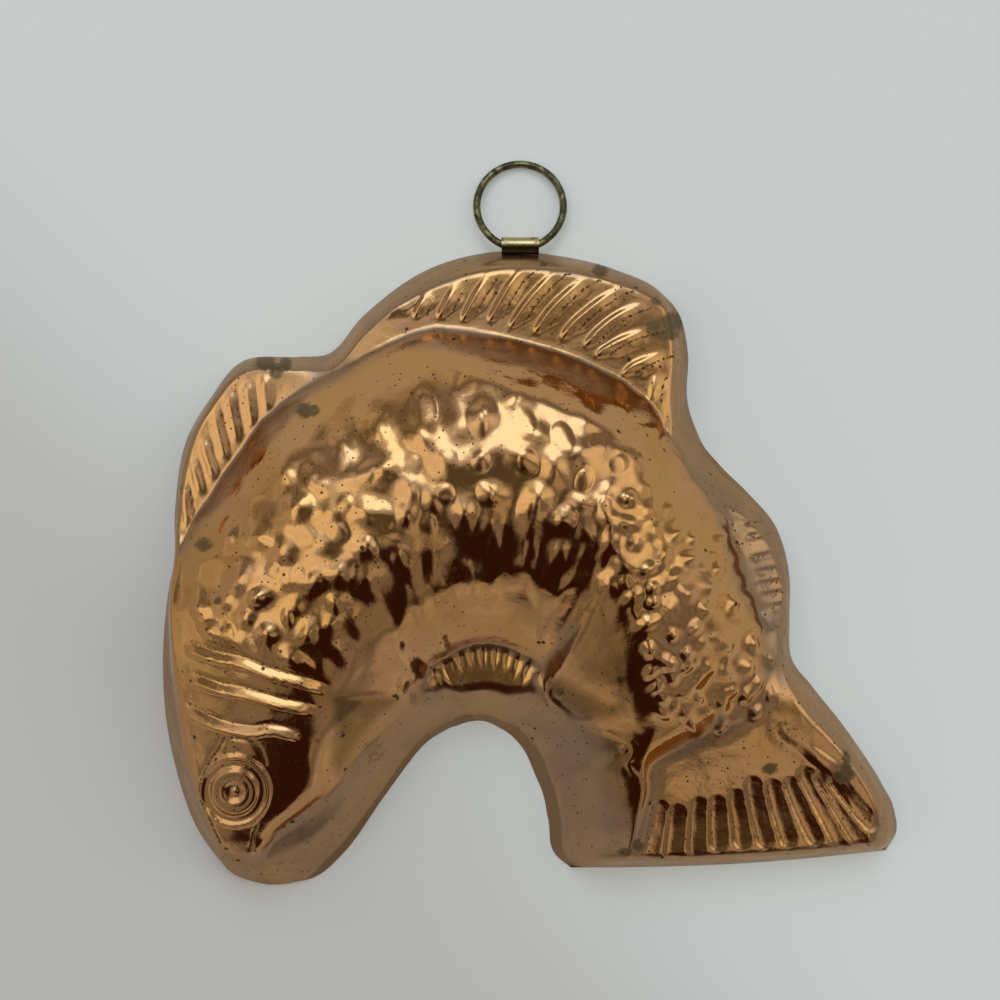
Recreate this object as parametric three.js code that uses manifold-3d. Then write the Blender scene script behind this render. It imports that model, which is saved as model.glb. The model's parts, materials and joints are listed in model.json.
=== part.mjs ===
// Copper fish mould: a pressed sheet shell in the form of a curved fish, open underneath,
// with a brass wire ring held by a sheet strap at the top of the dorsal fin.
// Millimetres. The mould lies on its rim on Z = 0 with the pressed face up: +Y runs to the
// dorsal fin and the ring, +X to the tail.
import * as THREE from 'three';
import { mergeVertices } from 'three/addons/utils/BufferGeometryUtils.js';
import Module from 'manifold-3d';

const wasm = await Module();
wasm.setup();

// Sheet
const SHEET = 1.0;
const HEM_WIDTH = 2.0;
const HEM_HEIGHT = 1.6;
const HEM_STEP = 0.3;
const HEM_SHARE = 0.4;

// Rim outline in plan. Each row is the place along the fish, 0 at the snout and 100 at the
// tail edge, then X and Y of the rim there.
const BACK_RIM = [
  [0, -107, -135.5], [3, -115.5, -130.5], [7, -125, -119], [13, -133.5, -98.5], [19, -139, -72.5],
  [24, -140, -48], [28, -138, -26], [30.5, -135.5, -12], [33, -135.5, 4.5], [36, -132, 29],
  [39, -122.5, 47], [41.5, -109.5, 62], [44, -88.5, 63.5], [45.5, -77.5, 64.5], [48, -64, 79],
  [51, -44.5, 94], [55, -17.5, 103], [59, 9.5, 102], [62.5, 33.5, 96], [65, 49, 88],
  [66.5, 57, 77.5], [67.5, 59.5, 64], [68.5, 59, 49], [70, 63.5, 33.5], [72, 71, 23],
  [74.5, 82.5, 11.5], [77.5, 93.5, -2.5], [80, 98, -20], [82, 98, -36.5], [83.5, 98.5, -50],
  [85.5, 106.5, -61.5], [88, 116.5, -74], [91, 125.5, -86.5], [94, 133, -98.5], [97, 138, -109.5],
  [99, 138, -118.5], [100, 134.5, -124],
];
const BELLY_RIM = [
  [0, -92, -136.5], [3, -82, -134], [7, -71, -124.5], [13, -56, -103.5], [19, -41.5, -84.5],
  [24, -33, -78.5], [30, -28, -76.5], [41, -23, -75], [51, -17.5, -75], [60, -12, -77.5],
  [67, -7.5, -80.5], [74, -2.5, -86.5], [81, 1.5, -95.5], [87, 4.5, -103], [93, 6.5, -113],
  [98, 9.5, -126], [100, 15, -130.5],
];
const SNOUT_BOW = 1.0;
const TAIL_BOW = 2.0;

// Cross sections. Each row is the place along the fish, the share of the way across from the
// belly rim to the back rim, and the height.
const BELLY_SHOULDER = [
  [0, 0.42, 11], [5, 0.42, 13], [7, 0.33, 16], [10, 0.21, 18], [13, 0.145, 17.5], [19, 0.137, 17.5],
  [28, 0.139, 21.5], [33, 0.129, 23], [39, 0.115, 25], [44, 0.107, 25], [51, 0.088, 25],
  [59, 0.089, 25], [65, 0.105, 25], [68.5, 0.145, 26], [72, 0.177, 26.5], [77.5, 0.205, 27],
  [82, 0.227, 26], [88, 0.204, 25], [94, 0.173, 23], [100, 0.14, 21],
];
const BELLY_FOLD = [
  [0, 0.5, 22], [7, 0.5, 24.5], [10, 0.455, 28], [13, 0.326, 30], [16, 0.236, 30], [22, 0.203, 28],
  [30.5, 0.173, 27], [39, 0.156, 25.3], [42, 0.165, 25], [45.5, 0.2, 25], [51, 0.183, 25],
  [59, 0.179, 25], [66.5, 0.163, 25.3], [70, 0.19, 26.3], [77.5, 0.223, 28], [82, 0.26, 27.4],
  [88, 0.234, 26], [94, 0.2, 23.5], [100, 0.17, 21.5],
];
const CREST = [
  [0, 0.58, 23], [7, 0.57, 26], [10, 0.519, 30], [13, 0.479, 35.5], [16, 0.469, 40.5],
  [19, 0.479, 44.5], [24, 0.483, 48], [30.5, 0.48, 51.5], [36, 0.42, 54], [41.5, 0.403, 56],
  [45.5, 0.44, 57], [51, 0.408, 57.6], [59, 0.412, 58], [65, 0.433, 57.5], [68.5, 0.516, 56.5],
  [70, 0.54, 55.7], [74.5, 0.495, 52], [78, 0.46, 47], [80, 0.44, 43], [82, 0.43, 37.5],
  [83.7, 0.39, 33], [85.5, 0.343, 29.5], [88, 0.309, 28], [94, 0.235, 25.3], [100, 0.19, 23],
];
const BACK_FOLD = [
  [0, 0.68, 22], [7, 0.733, 24], [10, 0.761, 28.6], [16, 0.822, 32], [22, 0.858, 34],
  [26, 0.887, 35.5], [28, 0.905, 34.5], [30.5, 0.92, 30], [33, 0.906, 22.5], [36, 0.847, 22],
  [39, 0.834, 22], [41.5, 0.839, 23], [44, 0.896, 24], [45.5, 0.915, 24.6], [48, 0.883, 24.6],
  [51, 0.854, 24], [55, 0.809, 24], [59, 0.788, 24], [65, 0.77, 24], [67.5, 0.802, 25],
  [68.5, 0.85, 26], [70, 0.88, 25], [72, 0.884, 24], [74.5, 0.88, 22], [77.5, 0.862, 21],
  [80, 0.87, 20.5], [82, 0.9, 23], [83.7, 0.89, 24], [86, 0.855, 23.5], [88, 0.87, 22.5],
  [91, 0.895, 21.5], [94, 0.905, 20.5], [97, 0.9, 20], [100, 0.88, 19.5],
];
const BACK_SHOULDER = [
  [0, 0.74, 20], [7, 0.765, 23], [10, 0.785, 28], [16, 0.836, 31], [22, 0.869, 33],
  [26, 0.9, 34.5], [28, 0.92, 33.4], [30.5, 0.942, 27.5], [33, 0.943, 22], [36, 0.948, 21],
  [39, 0.96, 21], [44, 0.955, 22], [48, 0.944, 23], [55, 0.95, 23], [65, 0.963, 23],
  [66.5, 0.915, 23], [67.5, 0.875, 23.3], [68.5, 0.89, 24.3], [70, 0.914, 23], [72, 0.914, 21.5],
  [74.5, 0.937, 19], [77.5, 0.942, 18], [80, 0.944, 18], [82, 0.93, 19], [83.7, 0.938, 22.3],
  [85.5, 0.928, 23], [91, 0.945, 22], [94, 0.945, 21], [97, 0.925, 20], [100, 0.9, 19],
];
const BELLY_ARCH_POWER = 1.9;
const BACK_ARCH_POWER = 2.15;
const TAIL_PLATE = { from: 83, to: 86.5, power: 9 };
const SNOUT_WALL = { run: 15, height: 25 };
const TAIL_WALL = { run: 8.5, height: 21 };
const EDGE_BLEND = 5;
const FOLD_BLEND = 4;

// Relief pressed into the sheet
const PITCH = 1.46;
const SCALES = { from: 27.9, to: 84.6, height: 1.2 };
const FIN_LEAN = [[0, 0], [33, 0], [35, 1.2], [41, 1.2], [44, 0], [48, 0], [51, 1.6], [56, 2.6],
  [62, 2.8], [68.5, 0], [100, 0]];
const DORSAL_RIBS = { from: 50.3, to: 67.8, height: 1.3 };
const PECTORAL_RIBS = { from: 33.6, to: 42.6, height: 1.0 };
const ANAL_RIBS = { from: 74.4, to: 81.2, height: 0.9 };
const BELLY_RIBS = { from: 44, to: 66, height: 0.9 };
const GILL_RIDGES = { first: 19.2, step: 2.9, count: 3, height: 1.6, width: 0.85 };
const TAIL_FLUTES = { count: 11, from: 90.3, to: 99, start: 0.12, depth: 1.5 };
const TAIL_RIDGE = { height: 1.4, width: 0.03 };
const EYE = { x: -106, y: -93.5, rings: [12, 8.2, 4.4], heights: [0.9, 0.8, 0.9], width: 1.1 };
const PUPIL = { height: 1.2, width: 1.6 };

// Mesh lines along each stretch of the fish, and mesh rows between the lines of its sections:
// close together round the eye, and two to each scale, rib and flute.
const STRETCHES = [
  { from: 0, to: 6, lines: 4, rows: [3, 2, 3, 13, 1, 3] },
  { from: 6, to: 17.75, lines: 13, rows: [3, 2, 3, 13, 1, 3] },
  { from: 17.75, to: 27.9, lines: 7, rows: [3, 2, 5, 8, 2, 3] },
  { from: 27.9, to: 84.84, lines: 78, rows: [2, 2, 5, 8, 4, 3] },
  { from: 84.84, to: 96, lines: 7, rows: [3, 2, 3, 24, 1, 3] },
  { from: 96, to: 100, lines: 3, rows: [3, 2, 3, 24, 1, 3] },
];
const SCALE_ROWS = [5, 8];

// Hanging ring and its strap
const HANGER_X = -4.4;
const RING_RADIUS = 16.35;
const WIRE_RADIUS = 1.4;
const STRAP_WIDTH = 14;
const STRAP_SHEET = 0.7;
const STRAP_BORE = 2.62;
const HINGE_OUT = 1.1;
const HINGE_HEIGHT = 5;
const LEG_GAP = 0.3;
const CLEARANCE = 0.3;
const UPPER_LEG = 9;
const LOWER_LEG = 2.2;
const SLOT = { depth: 14, height: 5.6, inset: 3 };
const WALL_RUN_PER_RISE = 0.37;
const RING_LIFT = 0.05;

// Smooth curve through rows of numbers, read at the place u. Slopes are weighted averages of
// the neighbouring spans.
function slopeAt(knots, i, column) {
  const rate = (j) => (knots[j + 1][column] - knots[j][column]) / (knots[j + 1][0] - knots[j][0]);
  if (i === 0) return rate(0);
  if (i === knots.length - 1) return rate(i - 1);
  const before = knots[i][0] - knots[i - 1][0];
  const after = knots[i + 1][0] - knots[i][0];
  return (rate(i - 1) * after + rate(i) * before) / (before + after);
}

// The same, but flat at each high and low, so that the curve never passes its rows.
function gentleSlopeAt(knots, i, column) {
  if (i === 0 || i === knots.length - 1) return 0;
  const before = (knots[i][column] - knots[i - 1][column]) / (knots[i][0] - knots[i - 1][0]);
  const after = (knots[i + 1][column] - knots[i][column]) / (knots[i + 1][0] - knots[i][0]);
  return before * after > 0 ? (2 * before * after) / (before + after) : 0;
}

function readCurve(knots, u, slope) {
  let i = 0;
  while (i < knots.length - 2 && u > knots[i + 1][0]) i += 1;
  const span = knots[i + 1][0] - knots[i][0];
  const t = (u - knots[i][0]) / span;
  const t2 = t * t;
  const t3 = t2 * t;
  return knots[i].slice(1).map((start, k) => {
    const end = knots[i + 1][k + 1];
    const leave = slope(knots, i, k + 1) * span;
    const arrive = slope(knots, i + 1, k + 1) * span;
    return (2 * t3 - 3 * t2 + 1) * start + (t3 - 2 * t2 + t) * leave
      + (3 * t2 - 2 * t3) * end + (t3 - t2) * arrive;
  });
}

const outline = (knots, u) => readCurve(knots, u, slopeAt);
const graded = (knots, u) => readCurve(knots, u, gentleSlopeAt);

// Small blending functions
const mix = (a, b, t) => a + (b - a) * t;
const clamp = (t) => Math.min(Math.max(t, 0), 1);

function ease(from, to, value) {
  const t = clamp((value - from) / (to - from));
  return t * t * (3 - 2 * t);
}

function lower(a, b, blend) {
  const h = Math.max(blend - Math.abs(a - b), 0) / blend;
  return Math.min(a, b) - h * h * blend / 4;
}

const higher = (a, b, blend) => -lower(-a, -b, blend);

// The lower of two walls that meet at a corner of the rim, where both start from the table
const cornered = (a, b) => lower(a, b, Math.min(EDGE_BLEND, a + b + 0.001));

// Zero outside a stretch, one inside it, with soft ends
const stretch = (value, from, to, soft) => ease(from, from + soft, value) * (1 - ease(to - soft, to, value));

// Plan position of a place u along the fish and a share v of the way across
function planPoint(u, v) {
  const [bellyX, bellyY] = outline(BELLY_RIM, u);
  const [backX, backY] = outline(BACK_RIM, u);
  const bow = SNOUT_BOW * (1 - ease(0, 5, u)) + TAIL_BOW * ease(94, 100, u);
  return [mix(bellyX, backX, v), mix(bellyY, backY, v) - bow * Math.sin(Math.PI * v)];
}

// Distance from the rim at the snout or the tail, measured square to that edge
function endDistance(end, x, y, v) {
  const [ax, ay] = planPoint(end, 0);
  const [bx, by] = planPoint(end, 1);
  const [ex, ey] = planPoint(end, v);
  const length = Math.hypot(bx - ax, by - ay);
  return Math.abs(((bx - ax) * (y - ey) - (by - ay) * (x - ex)) / length);
}

// The six lines that each cross section runs between: share across and height
function section(u) {
  return [[0, 0], graded(BELLY_SHOULDER, u), graded(BELLY_FOLD, u), graded(CREST, u),
    graded(BACK_FOLD, u), graded(BACK_SHOULDER, u), [1, 0]];
}

// Height of the smooth form, before the relief is pressed into it
function formHeight(lines, u, v) {
  const [, shoulder, fold, crest, backFold, backShoulder] = lines;
  const belly = v < crest[0];
  const edge = belly ? shoulder : backShoulder;
  const foot = belly ? fold : backFold;
  const power = belly ? BELLY_ARCH_POWER : BACK_ARCH_POWER;
  const fromRim = belly ? v / edge[0] : (1 - v) / (1 - edge[0]);
  const wall = edge[1] * fromRim;
  const width = Math.sign(foot[0] - edge[0]) * Math.max(Math.abs(foot[0] - edge[0]), 0.01);
  const ledge = mix(edge[1], foot[1], clamp((v - edge[0]) / width));
  const away = Math.abs((v - crest[0]) / (foot[0] - crest[0]));
  const plate = belly ? 0 : ease(TAIL_PLATE.from, TAIL_PLATE.to, u);
  const fall = mix(away ** power, 1 - Math.max(1 - away, 0) ** TAIL_PLATE.power, plate);
  const arch = crest[1] - (crest[1] - foot[1]) * fall;
  return lower(wall, higher(ledge, arch, FOLD_BLEND), EDGE_BLEND);
}

// Raised ribs that run across a fin, one for each two rows of the mesh
function ribs(place, part, { from, to, height }) {
  const swell = (0.5 + 0.5 * Math.cos((2 * Math.PI * (place - from)) / PITCH)) ** 1.3;
  return height * swell * stretch(place, from - 0.6, to, 1.2) * part;
}

// Rounded scales in staggered rows. The row number counts from the belly fold up over the crest.
function scales(place, span, share) {
  if (span !== 2 && span !== 3) return 0;
  const row = span === 2 ? share * SCALE_ROWS[0] : SCALE_ROWS[0] + share * SCALE_ROWS[1];
  const column = (place - SCALES.from) / PITCH;
  const bump = (Math.cos(Math.PI * (column + row / 2)) * Math.cos(Math.PI * (column - row / 2))) ** 2;
  const top = SCALE_ROWS[0] + SCALE_ROWS[1] * mix(1, 0.9, stretch(place, 44, 68, 6));
  return SCALES.height * bump * stretch(place, SCALES.from, SCALES.to, 1.2) * stretch(row, 1.8, top, 1.2);
}

function gillRidges(place, span, share) {
  const part = span === 2 ? ease(0.3, 0.6, share) : span === 3 ? 1 - ease(0.85, 1, share) : 0;
  let rise = 0;
  for (let i = 0; i < GILL_RIDGES.count; i += 1) {
    const offset = (place - GILL_RIDGES.first - i * GILL_RIDGES.step) / GILL_RIDGES.width;
    rise += Math.exp(-offset * offset);
  }
  return GILL_RIDGES.height * rise * part;
}

// Sunk flutes that fan out over the tail, and the raised edge along its outer side
function tailRelief(place, span, share) {
  if (span !== 3) return 0;
  const { count, from, to, start, depth } = TAIL_FLUTES;
  const order = ((share - start) / (1 - start)) * count;
  const groove = order > 0 ? (0.5 - 0.5 * Math.cos(2 * Math.PI * order)) ** 0.8 : 0;
  const edge = Math.exp(-(((1 - share) / TAIL_RIDGE.width) ** 2)) * stretch(place, 85, 97, 3);
  return TAIL_RIDGE.height * edge - depth * groove * stretch(place, from, to, 1.2);
}

// Rings of the eye, and the small dome of the pupil
function eyeRelief(x, y) {
  const reach = Math.hypot(x - EYE.x, y - EYE.y);
  const swell = (radius) => Math.exp(-(((reach - radius) / EYE.width) ** 2));
  const rings = EYE.rings.map((radius, k) => EYE.heights[k] * swell(radius));
  return rings.reduce((sum, rise) => sum + rise, 0) + PUPIL.height * Math.exp(-((reach / PUPIL.width) ** 2));
}

// One point of the outer face. The mesh line `place` leans along the fish where it crosses a
// fin, so that the ribs slant with it.
function outerPoint(place, span, share) {
  const across = span < 4 ? 0 : span === 4 ? share : 1;
  const u = place + graded(FIN_LEAN, place)[0] * across;
  const lines = section(u);
  const v = mix(lines[span][0], lines[span + 1][0], share);
  const [x, y] = planPoint(u, v);
  let z = formHeight(lines, u, v);
  z = cornered(z, (endDistance(0, x, y, v) * SNOUT_WALL.height) / SNOUT_WALL.run);
  z = cornered(z, (endDistance(100, x, y, v) * TAIL_WALL.height) / TAIL_WALL.run);
  const finPart = span === 4 ? stretch(share, 0.1, 1, 0.3) : 0;
  z += ribs(place, finPart, DORSAL_RIBS) + ribs(place, finPart, PECTORAL_RIBS);
  z += ribs(place, finPart, ANAL_RIBS);
  z += ribs(place, span === 2 ? 1 - ease(0, 0.25, share) : 0, BELLY_RIBS);
  z += scales(place, span, share) + gillRidges(place, span, share);
  z += tailRelief(place, span, share) + eyeRelief(x, y);
  return new THREE.Vector3(x, y, Math.max(z, 0));
}

// The mesh lines across the fish, each a row of points with its key, which says how far
// across the point lies
function meshLines() {
  const lines = [];
  const addLine = (place, rows) => {
    const line = [];
    rows.forEach((count, span) => {
      for (let i = 0; i < count; i += 1) {
        line.push({ key: span + i / count, point: outerPoint(place, span, i / count) });
      }
    });
    line.push({ key: rows.length, point: outerPoint(place, rows.length - 1, 1) });
    lines.push(line);
  };
  STRETCHES.forEach(({ from, to, lines: count, rows }) => {
    for (let i = 0; i < count; i += 1) addLine(mix(from, to, i / count), rows);
  });
  addLine(100, STRETCHES[STRETCHES.length - 1].rows);
  return lines;
}

// Triangles between two neighbouring lines. Where both have a point at the same key the quad
// is split so that each scale stands by itself, and at a corner of the rim from the corner
// inwards, so that no triangle lies flat on the table.
function joinLines(near, far, order, addTriangle) {
  let i = 0;
  let j = 0;
  while (i < near.length - 1 || j < far.length - 1) {
    const nextNear = i < near.length - 1 ? near[i + 1].key : Infinity;
    const nextFar = j < far.length - 1 ? far[j + 1].key : Infinity;
    if (Math.abs(nextNear - nextFar) < 1e-9) {
      const forward = near[i].point.z + far[j + 1].point.z;
      const backward = far[j].point.z + near[i + 1].point.z;
      if (forward === 0 || ((order + i) % 2 === 0 && backward > 0)) {
        addTriangle(near[i], far[j], near[i + 1]);
        addTriangle(far[j], far[j + 1], near[i + 1]);
      } else {
        addTriangle(near[i], far[j], far[j + 1]);
        addTriangle(near[i], far[j + 1], near[i + 1]);
      }
      i += 1;
      j += 1;
    } else if (nextNear < nextFar) {
      addTriangle(near[i], far[j], near[i + 1]);
      i += 1;
    } else {
      addTriangle(near[i], far[j], far[j + 1]);
      j += 1;
    }
  }
}

// The rim runs round the four sides of the mesh. Each of its points comes with the nearest
// point inside it.
function rimLoop(lines) {
  const last = lines.length - 1;
  const sides = lines.slice(1, last);
  return [
    [lines[0][0], lines[1][1]],
    ...sides.map((line) => [line[0], line[1]]),
    [lines[last][0], lines[last - 1][1]],
    ...lines[last].slice(1, -1).map((entry, j) => [entry, lines[last - 1][j + 1]]),
    [lines[last].at(-1), lines[last - 1].at(-2)],
    ...sides.map((line) => [line.at(-1), line.at(-2)]).reverse(),
    [lines[0].at(-1), lines[1].at(-2)],
    ...lines[0].slice(1, -1).map((entry, j) => [entry, lines[1][j + 1]]).reverse(),
  ];
}

// The hem at one point of the rim: its foot, and its top against the inner face, which stays
// well under the outer face where the wall is shallow
function hemPoints(rim, inside, inward) {
  const foot = rim.clone().addScaledVector(inward, HEM_WIDTH).setZ(0);
  const reach = HEM_WIDTH - HEM_STEP;
  const cover = (inside.z * reach) / inside.clone().sub(rim).dot(inward);
  const top = rim.clone().addScaledVector(inward, reach).setZ(Math.min(HEM_HEIGHT, HEM_SHARE * cover));
  return [foot, top];
}

function toAttribute(points) {
  return new THREE.Float32BufferAttribute(points.flatMap((point) => point.toArray()), 3);
}

// The sheet as one closed skin: the outer face, the inner face one sheet below it, and the
// edge between them, which is hemmed inwards so that the mould stands on a flat rim.
function shellGeometry() {
  const lines = meshLines();
  const outer = lines.flat();
  outer.forEach((entry, index) => { entry.index = index; });
  const faces = [];
  const addTriangle = (a, b, c) => faces.push([a.index, b.index, c.index]);
  for (let k = 0; k < lines.length - 1; k += 1) joinLines(lines[k], lines[k + 1], k, addTriangle);
  const skin = new THREE.BufferGeometry();
  skin.setAttribute('position', toAttribute(outer.map(({ point }) => point)));
  skin.setIndex(faces.flat());
  skin.computeVertexNormals();
  const inner = outer.map(({ point }, index) => {
    const normal = new THREE.Vector3().fromBufferAttribute(skin.attributes.normal, index);
    return point.clone().addScaledVector(normal, -SHEET);
  });
  const loop = rimLoop(lines);
  const hem = loop.map(([{ index, point }, inside], k) => {
    const before = loop[(k + loop.length - 1) % loop.length][0].point;
    const after = loop[(k + 1) % loop.length][0].point;
    const inward = new THREE.Vector3(before.y - after.y, after.x - before.x, 0).normalize();
    const [foot, top] = hemPoints(point, inside.point, inward);
    inner[index].copy(top);
    return foot;
  });
  const points = [...outer.map(({ point }) => point), ...inner, ...hem];
  const triangles = faces.map(([a, b, c]) => [a, b, c]);
  faces.forEach(([a, b, c]) => triangles.push([a + outer.length, c + outer.length, b + outer.length]));
  loop.forEach(([{ index }], k) => {
    const next = (k + 1) % loop.length;
    const foot = 2 * outer.length + k;
    const nextFoot = 2 * outer.length + next;
    const nextIndex = loop[next][0].index;
    triangles.push([index, foot, nextIndex], [foot, nextFoot, nextIndex]);
    triangles.push([foot, index + outer.length, nextFoot]);
    triangles.push([index + outer.length, nextIndex + outer.length, nextFoot]);
  });
  const geometry = new THREE.BufferGeometry();
  geometry.setAttribute('position', toAttribute(points));
  geometry.setIndex(triangles.flat());
  return geometry;
}

// Geometry and solid, each way
function toSolid(geometry) {
  const plain = geometry.clone();
  plain.deleteAttribute('normal');
  plain.deleteAttribute('uv');
  const merged = mergeVertices(plain, 1e-4);
  return new wasm.Manifold(new wasm.Mesh({
    numProp: 3,
    vertProperties: new Float32Array(merged.attributes.position.array),
    triVerts: new Uint32Array(merged.index.array),
  }));
}

function fromSolid(solid) {
  const mesh = solid.getMesh();
  const geometry = new THREE.BufferGeometry();
  geometry.setAttribute('position', new THREE.BufferAttribute(new Float32Array(mesh.vertProperties), 3));
  geometry.setIndex(new THREE.BufferAttribute(new Uint32Array(mesh.triVerts), 1));
  return geometry;
}

// Place on the rim above which the hanger sits, and the hinge line just outside it
const RIM_TOP = outline(BACK_RIM, 57)[1];
const HINGE = new THREE.Vector3(HANGER_X, RIM_TOP + HINGE_OUT, HINGE_HEIGHT);
const WALL_LEAN = Math.atan(WALL_RUN_PER_RISE);

// Window in the fin wall that the strap goes through
function slotGeometry() {
  const slot = new THREE.BoxGeometry(STRAP_WIDTH + 2 * CLEARANCE, SLOT.depth, SLOT.height);
  slot.translate(HANGER_X, RIM_TOP - SLOT.inset, HINGE_HEIGHT);
  return slot;
}

// Strap section: an eye round the wire and two legs that go through the wall and spread
// against its inner face. The outline is drawn with Y inwards and Z up about the hinge.
function strapGeometry() {
  const half = LEG_GAP / 2;
  const outer = STRAP_BORE + STRAP_SHEET;
  const outerEnter = Math.asin((half + STRAP_SHEET) / outer);
  const innerEnter = Math.asin(half / STRAP_BORE);
  const legTop = HINGE_HEIGHT + half + STRAP_SHEET;
  const bend = HINGE_OUT + legTop * Math.tan(WALL_LEAN) + SHEET / Math.cos(WALL_LEAN) + 2 * CLEARANCE;
  const lean = new THREE.Vector2(Math.sin(WALL_LEAN), Math.cos(WALL_LEAN));
  const thick = STRAP_SHEET / Math.cos(WALL_LEAN);
  const shape = new THREE.Shape();
  const along = ([x, y], side, length) => [x + lean.x * length * side, y + lean.y * length * side];
  const upperOuter = [bend, half + STRAP_SHEET];
  const upperInner = [bend + thick, half];
  const lowerOuter = [bend, -half - STRAP_SHEET];
  const lowerInner = [bend + thick, -half];
  shape.moveTo(...along(upperOuter, 1, UPPER_LEG));
  shape.lineTo(...upperOuter);
  shape.absarc(0, 0, outer, outerEnter, -outerEnter + 2 * Math.PI, false);
  shape.lineTo(...lowerOuter);
  shape.lineTo(...along(lowerOuter, -1, LOWER_LEG));
  shape.lineTo(...along(lowerInner, -1, LOWER_LEG));
  shape.lineTo(...lowerInner);
  shape.absarc(0, 0, STRAP_BORE, -innerEnter, -2 * Math.PI + innerEnter, true);
  shape.lineTo(...upperInner);
  shape.lineTo(...along(upperInner, 1, UPPER_LEG));
  shape.closePath();
  const drawn = { depth: STRAP_WIDTH, bevelEnabled: false, curveSegments: 14 };
  const strap = new THREE.ExtrudeGeometry(shape, drawn);
  strap.translate(0, 0, -STRAP_WIDTH / 2);
  strap.applyMatrix4(new THREE.Matrix4().makeBasis(
    new THREE.Vector3(0, -1, 0), new THREE.Vector3(0, 0, 1), new THREE.Vector3(-1, 0, 0)));
  return strap;
}

// The ring lies outwards from the strap with its far side on the table
function ringGeometry() {
  const sag = RING_RADIUS - Math.sqrt(RING_RADIUS ** 2 - (STRAP_WIDTH / 2) ** 2);
  const toCentre = RING_RADIUS - sag / 2;
  const droop = Math.asin((HINGE_HEIGHT - WIRE_RADIUS - RING_LIFT) / (toCentre + RING_RADIUS));
  const ring = new THREE.TorusGeometry(RING_RADIUS, WIRE_RADIUS, 10, 56);
  ring.translate(0, toCentre, 0);
  ring.rotateX(-droop);
  return ring;
}

const COPPER = { color: 0xb87346, roughness: 0.28, metalness: 1 };
const BRASS = { color: 0x8a7a3a, roughness: 0.4, metalness: 1 };

function piece(name, geometry, finish) {
  const mesh = new THREE.Mesh(geometry, new THREE.MeshStandardMaterial(finish));
  mesh.name = name;
  return mesh;
}

const mould = new THREE.Group();
const shell = toSolid(shellGeometry()).subtract(toSolid(slotGeometry()));
mould.add(piece('mould_shell', fromSolid(shell), COPPER));
const hanger = new THREE.Group();
hanger.position.copy(HINGE);
hanger.add(piece('ring_strap', strapGeometry(), BRASS));
hanger.add(piece('hanging_ring', ringGeometry(), BRASS));
mould.add(hanger);

// The origin lies on the table under the middle of the whole object
const box = new THREE.Box3().setFromObject(mould);
mould.position.set(-(box.min.x + box.max.x) / 2, -(box.min.y + box.max.y) / 2, 0);

export default mould;
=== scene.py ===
"""Copper fish mould: the looks of the pressed shell, its strap and its hanging ring."""
import json
import math

import bpy
import numpy as np
from mathutils.kdtree import KDTree
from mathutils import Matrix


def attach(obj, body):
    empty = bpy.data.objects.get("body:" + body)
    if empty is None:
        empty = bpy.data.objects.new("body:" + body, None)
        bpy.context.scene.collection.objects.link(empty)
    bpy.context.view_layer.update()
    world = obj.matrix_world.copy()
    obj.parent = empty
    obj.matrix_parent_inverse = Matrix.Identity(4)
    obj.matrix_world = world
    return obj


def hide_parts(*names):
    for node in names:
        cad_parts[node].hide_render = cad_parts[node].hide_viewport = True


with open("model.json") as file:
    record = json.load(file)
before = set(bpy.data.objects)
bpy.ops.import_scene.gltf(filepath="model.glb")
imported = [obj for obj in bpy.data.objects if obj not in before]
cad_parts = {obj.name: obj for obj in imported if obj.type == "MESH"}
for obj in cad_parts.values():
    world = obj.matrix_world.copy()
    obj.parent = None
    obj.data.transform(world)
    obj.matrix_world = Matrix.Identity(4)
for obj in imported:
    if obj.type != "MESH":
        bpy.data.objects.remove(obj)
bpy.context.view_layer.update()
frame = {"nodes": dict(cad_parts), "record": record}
MM = 0.001

# Rim outline in plan, in millimetres. Each row is the place along the fish, 0 at the snout and
# 100 at the tail edge, then X and Y of the rim there.
BACK_RIM = [
    (0, -107, -135.5), (3, -115.5, -130.5), (7, -125, -119), (13, -133.5, -98.5), (19, -139, -72.5),
    (24, -140, -48), (28, -138, -26), (30.5, -135.5, -12), (33, -135.5, 4.5), (36, -132, 29),
    (39, -122.5, 47), (41.5, -109.5, 62), (44, -88.5, 63.5), (45.5, -77.5, 64.5), (48, -64, 79),
    (51, -44.5, 94), (55, -17.5, 103), (59, 9.5, 102), (62.5, 33.5, 96), (65, 49, 88),
    (66.5, 57, 77.5), (67.5, 59.5, 64), (68.5, 59, 49), (70, 63.5, 33.5), (72, 71, 23),
    (74.5, 82.5, 11.5), (77.5, 93.5, -2.5), (80, 98, -20), (82, 98, -36.5), (83.5, 98.5, -50),
    (85.5, 106.5, -61.5), (88, 116.5, -74), (91, 125.5, -86.5), (94, 133, -98.5), (97, 138, -109.5),
    (99, 138, -118.5), (100, 134.5, -124),
]
BELLY_RIM = [
    (0, -92, -136.5), (3, -82, -134), (7, -71, -124.5), (13, -56, -103.5), (19, -41.5, -84.5),
    (24, -33, -78.5), (30, -28, -76.5), (41, -23, -75), (51, -17.5, -75), (60, -12, -77.5),
    (67, -7.5, -80.5), (74, -2.5, -86.5), (81, 1.5, -95.5), (87, 4.5, -103), (93, 6.5, -113),
    (98, 9.5, -126), (100, 15, -130.5),
]
# How far the rim bows out at each end, and the places between which the bow fades
SNOUT_BOW = 1.0
SNOUT_BOW_FADE = (0, 5)
TAIL_BOW = 2.0
TAIL_BOW_FADE = (94, 100)

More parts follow.
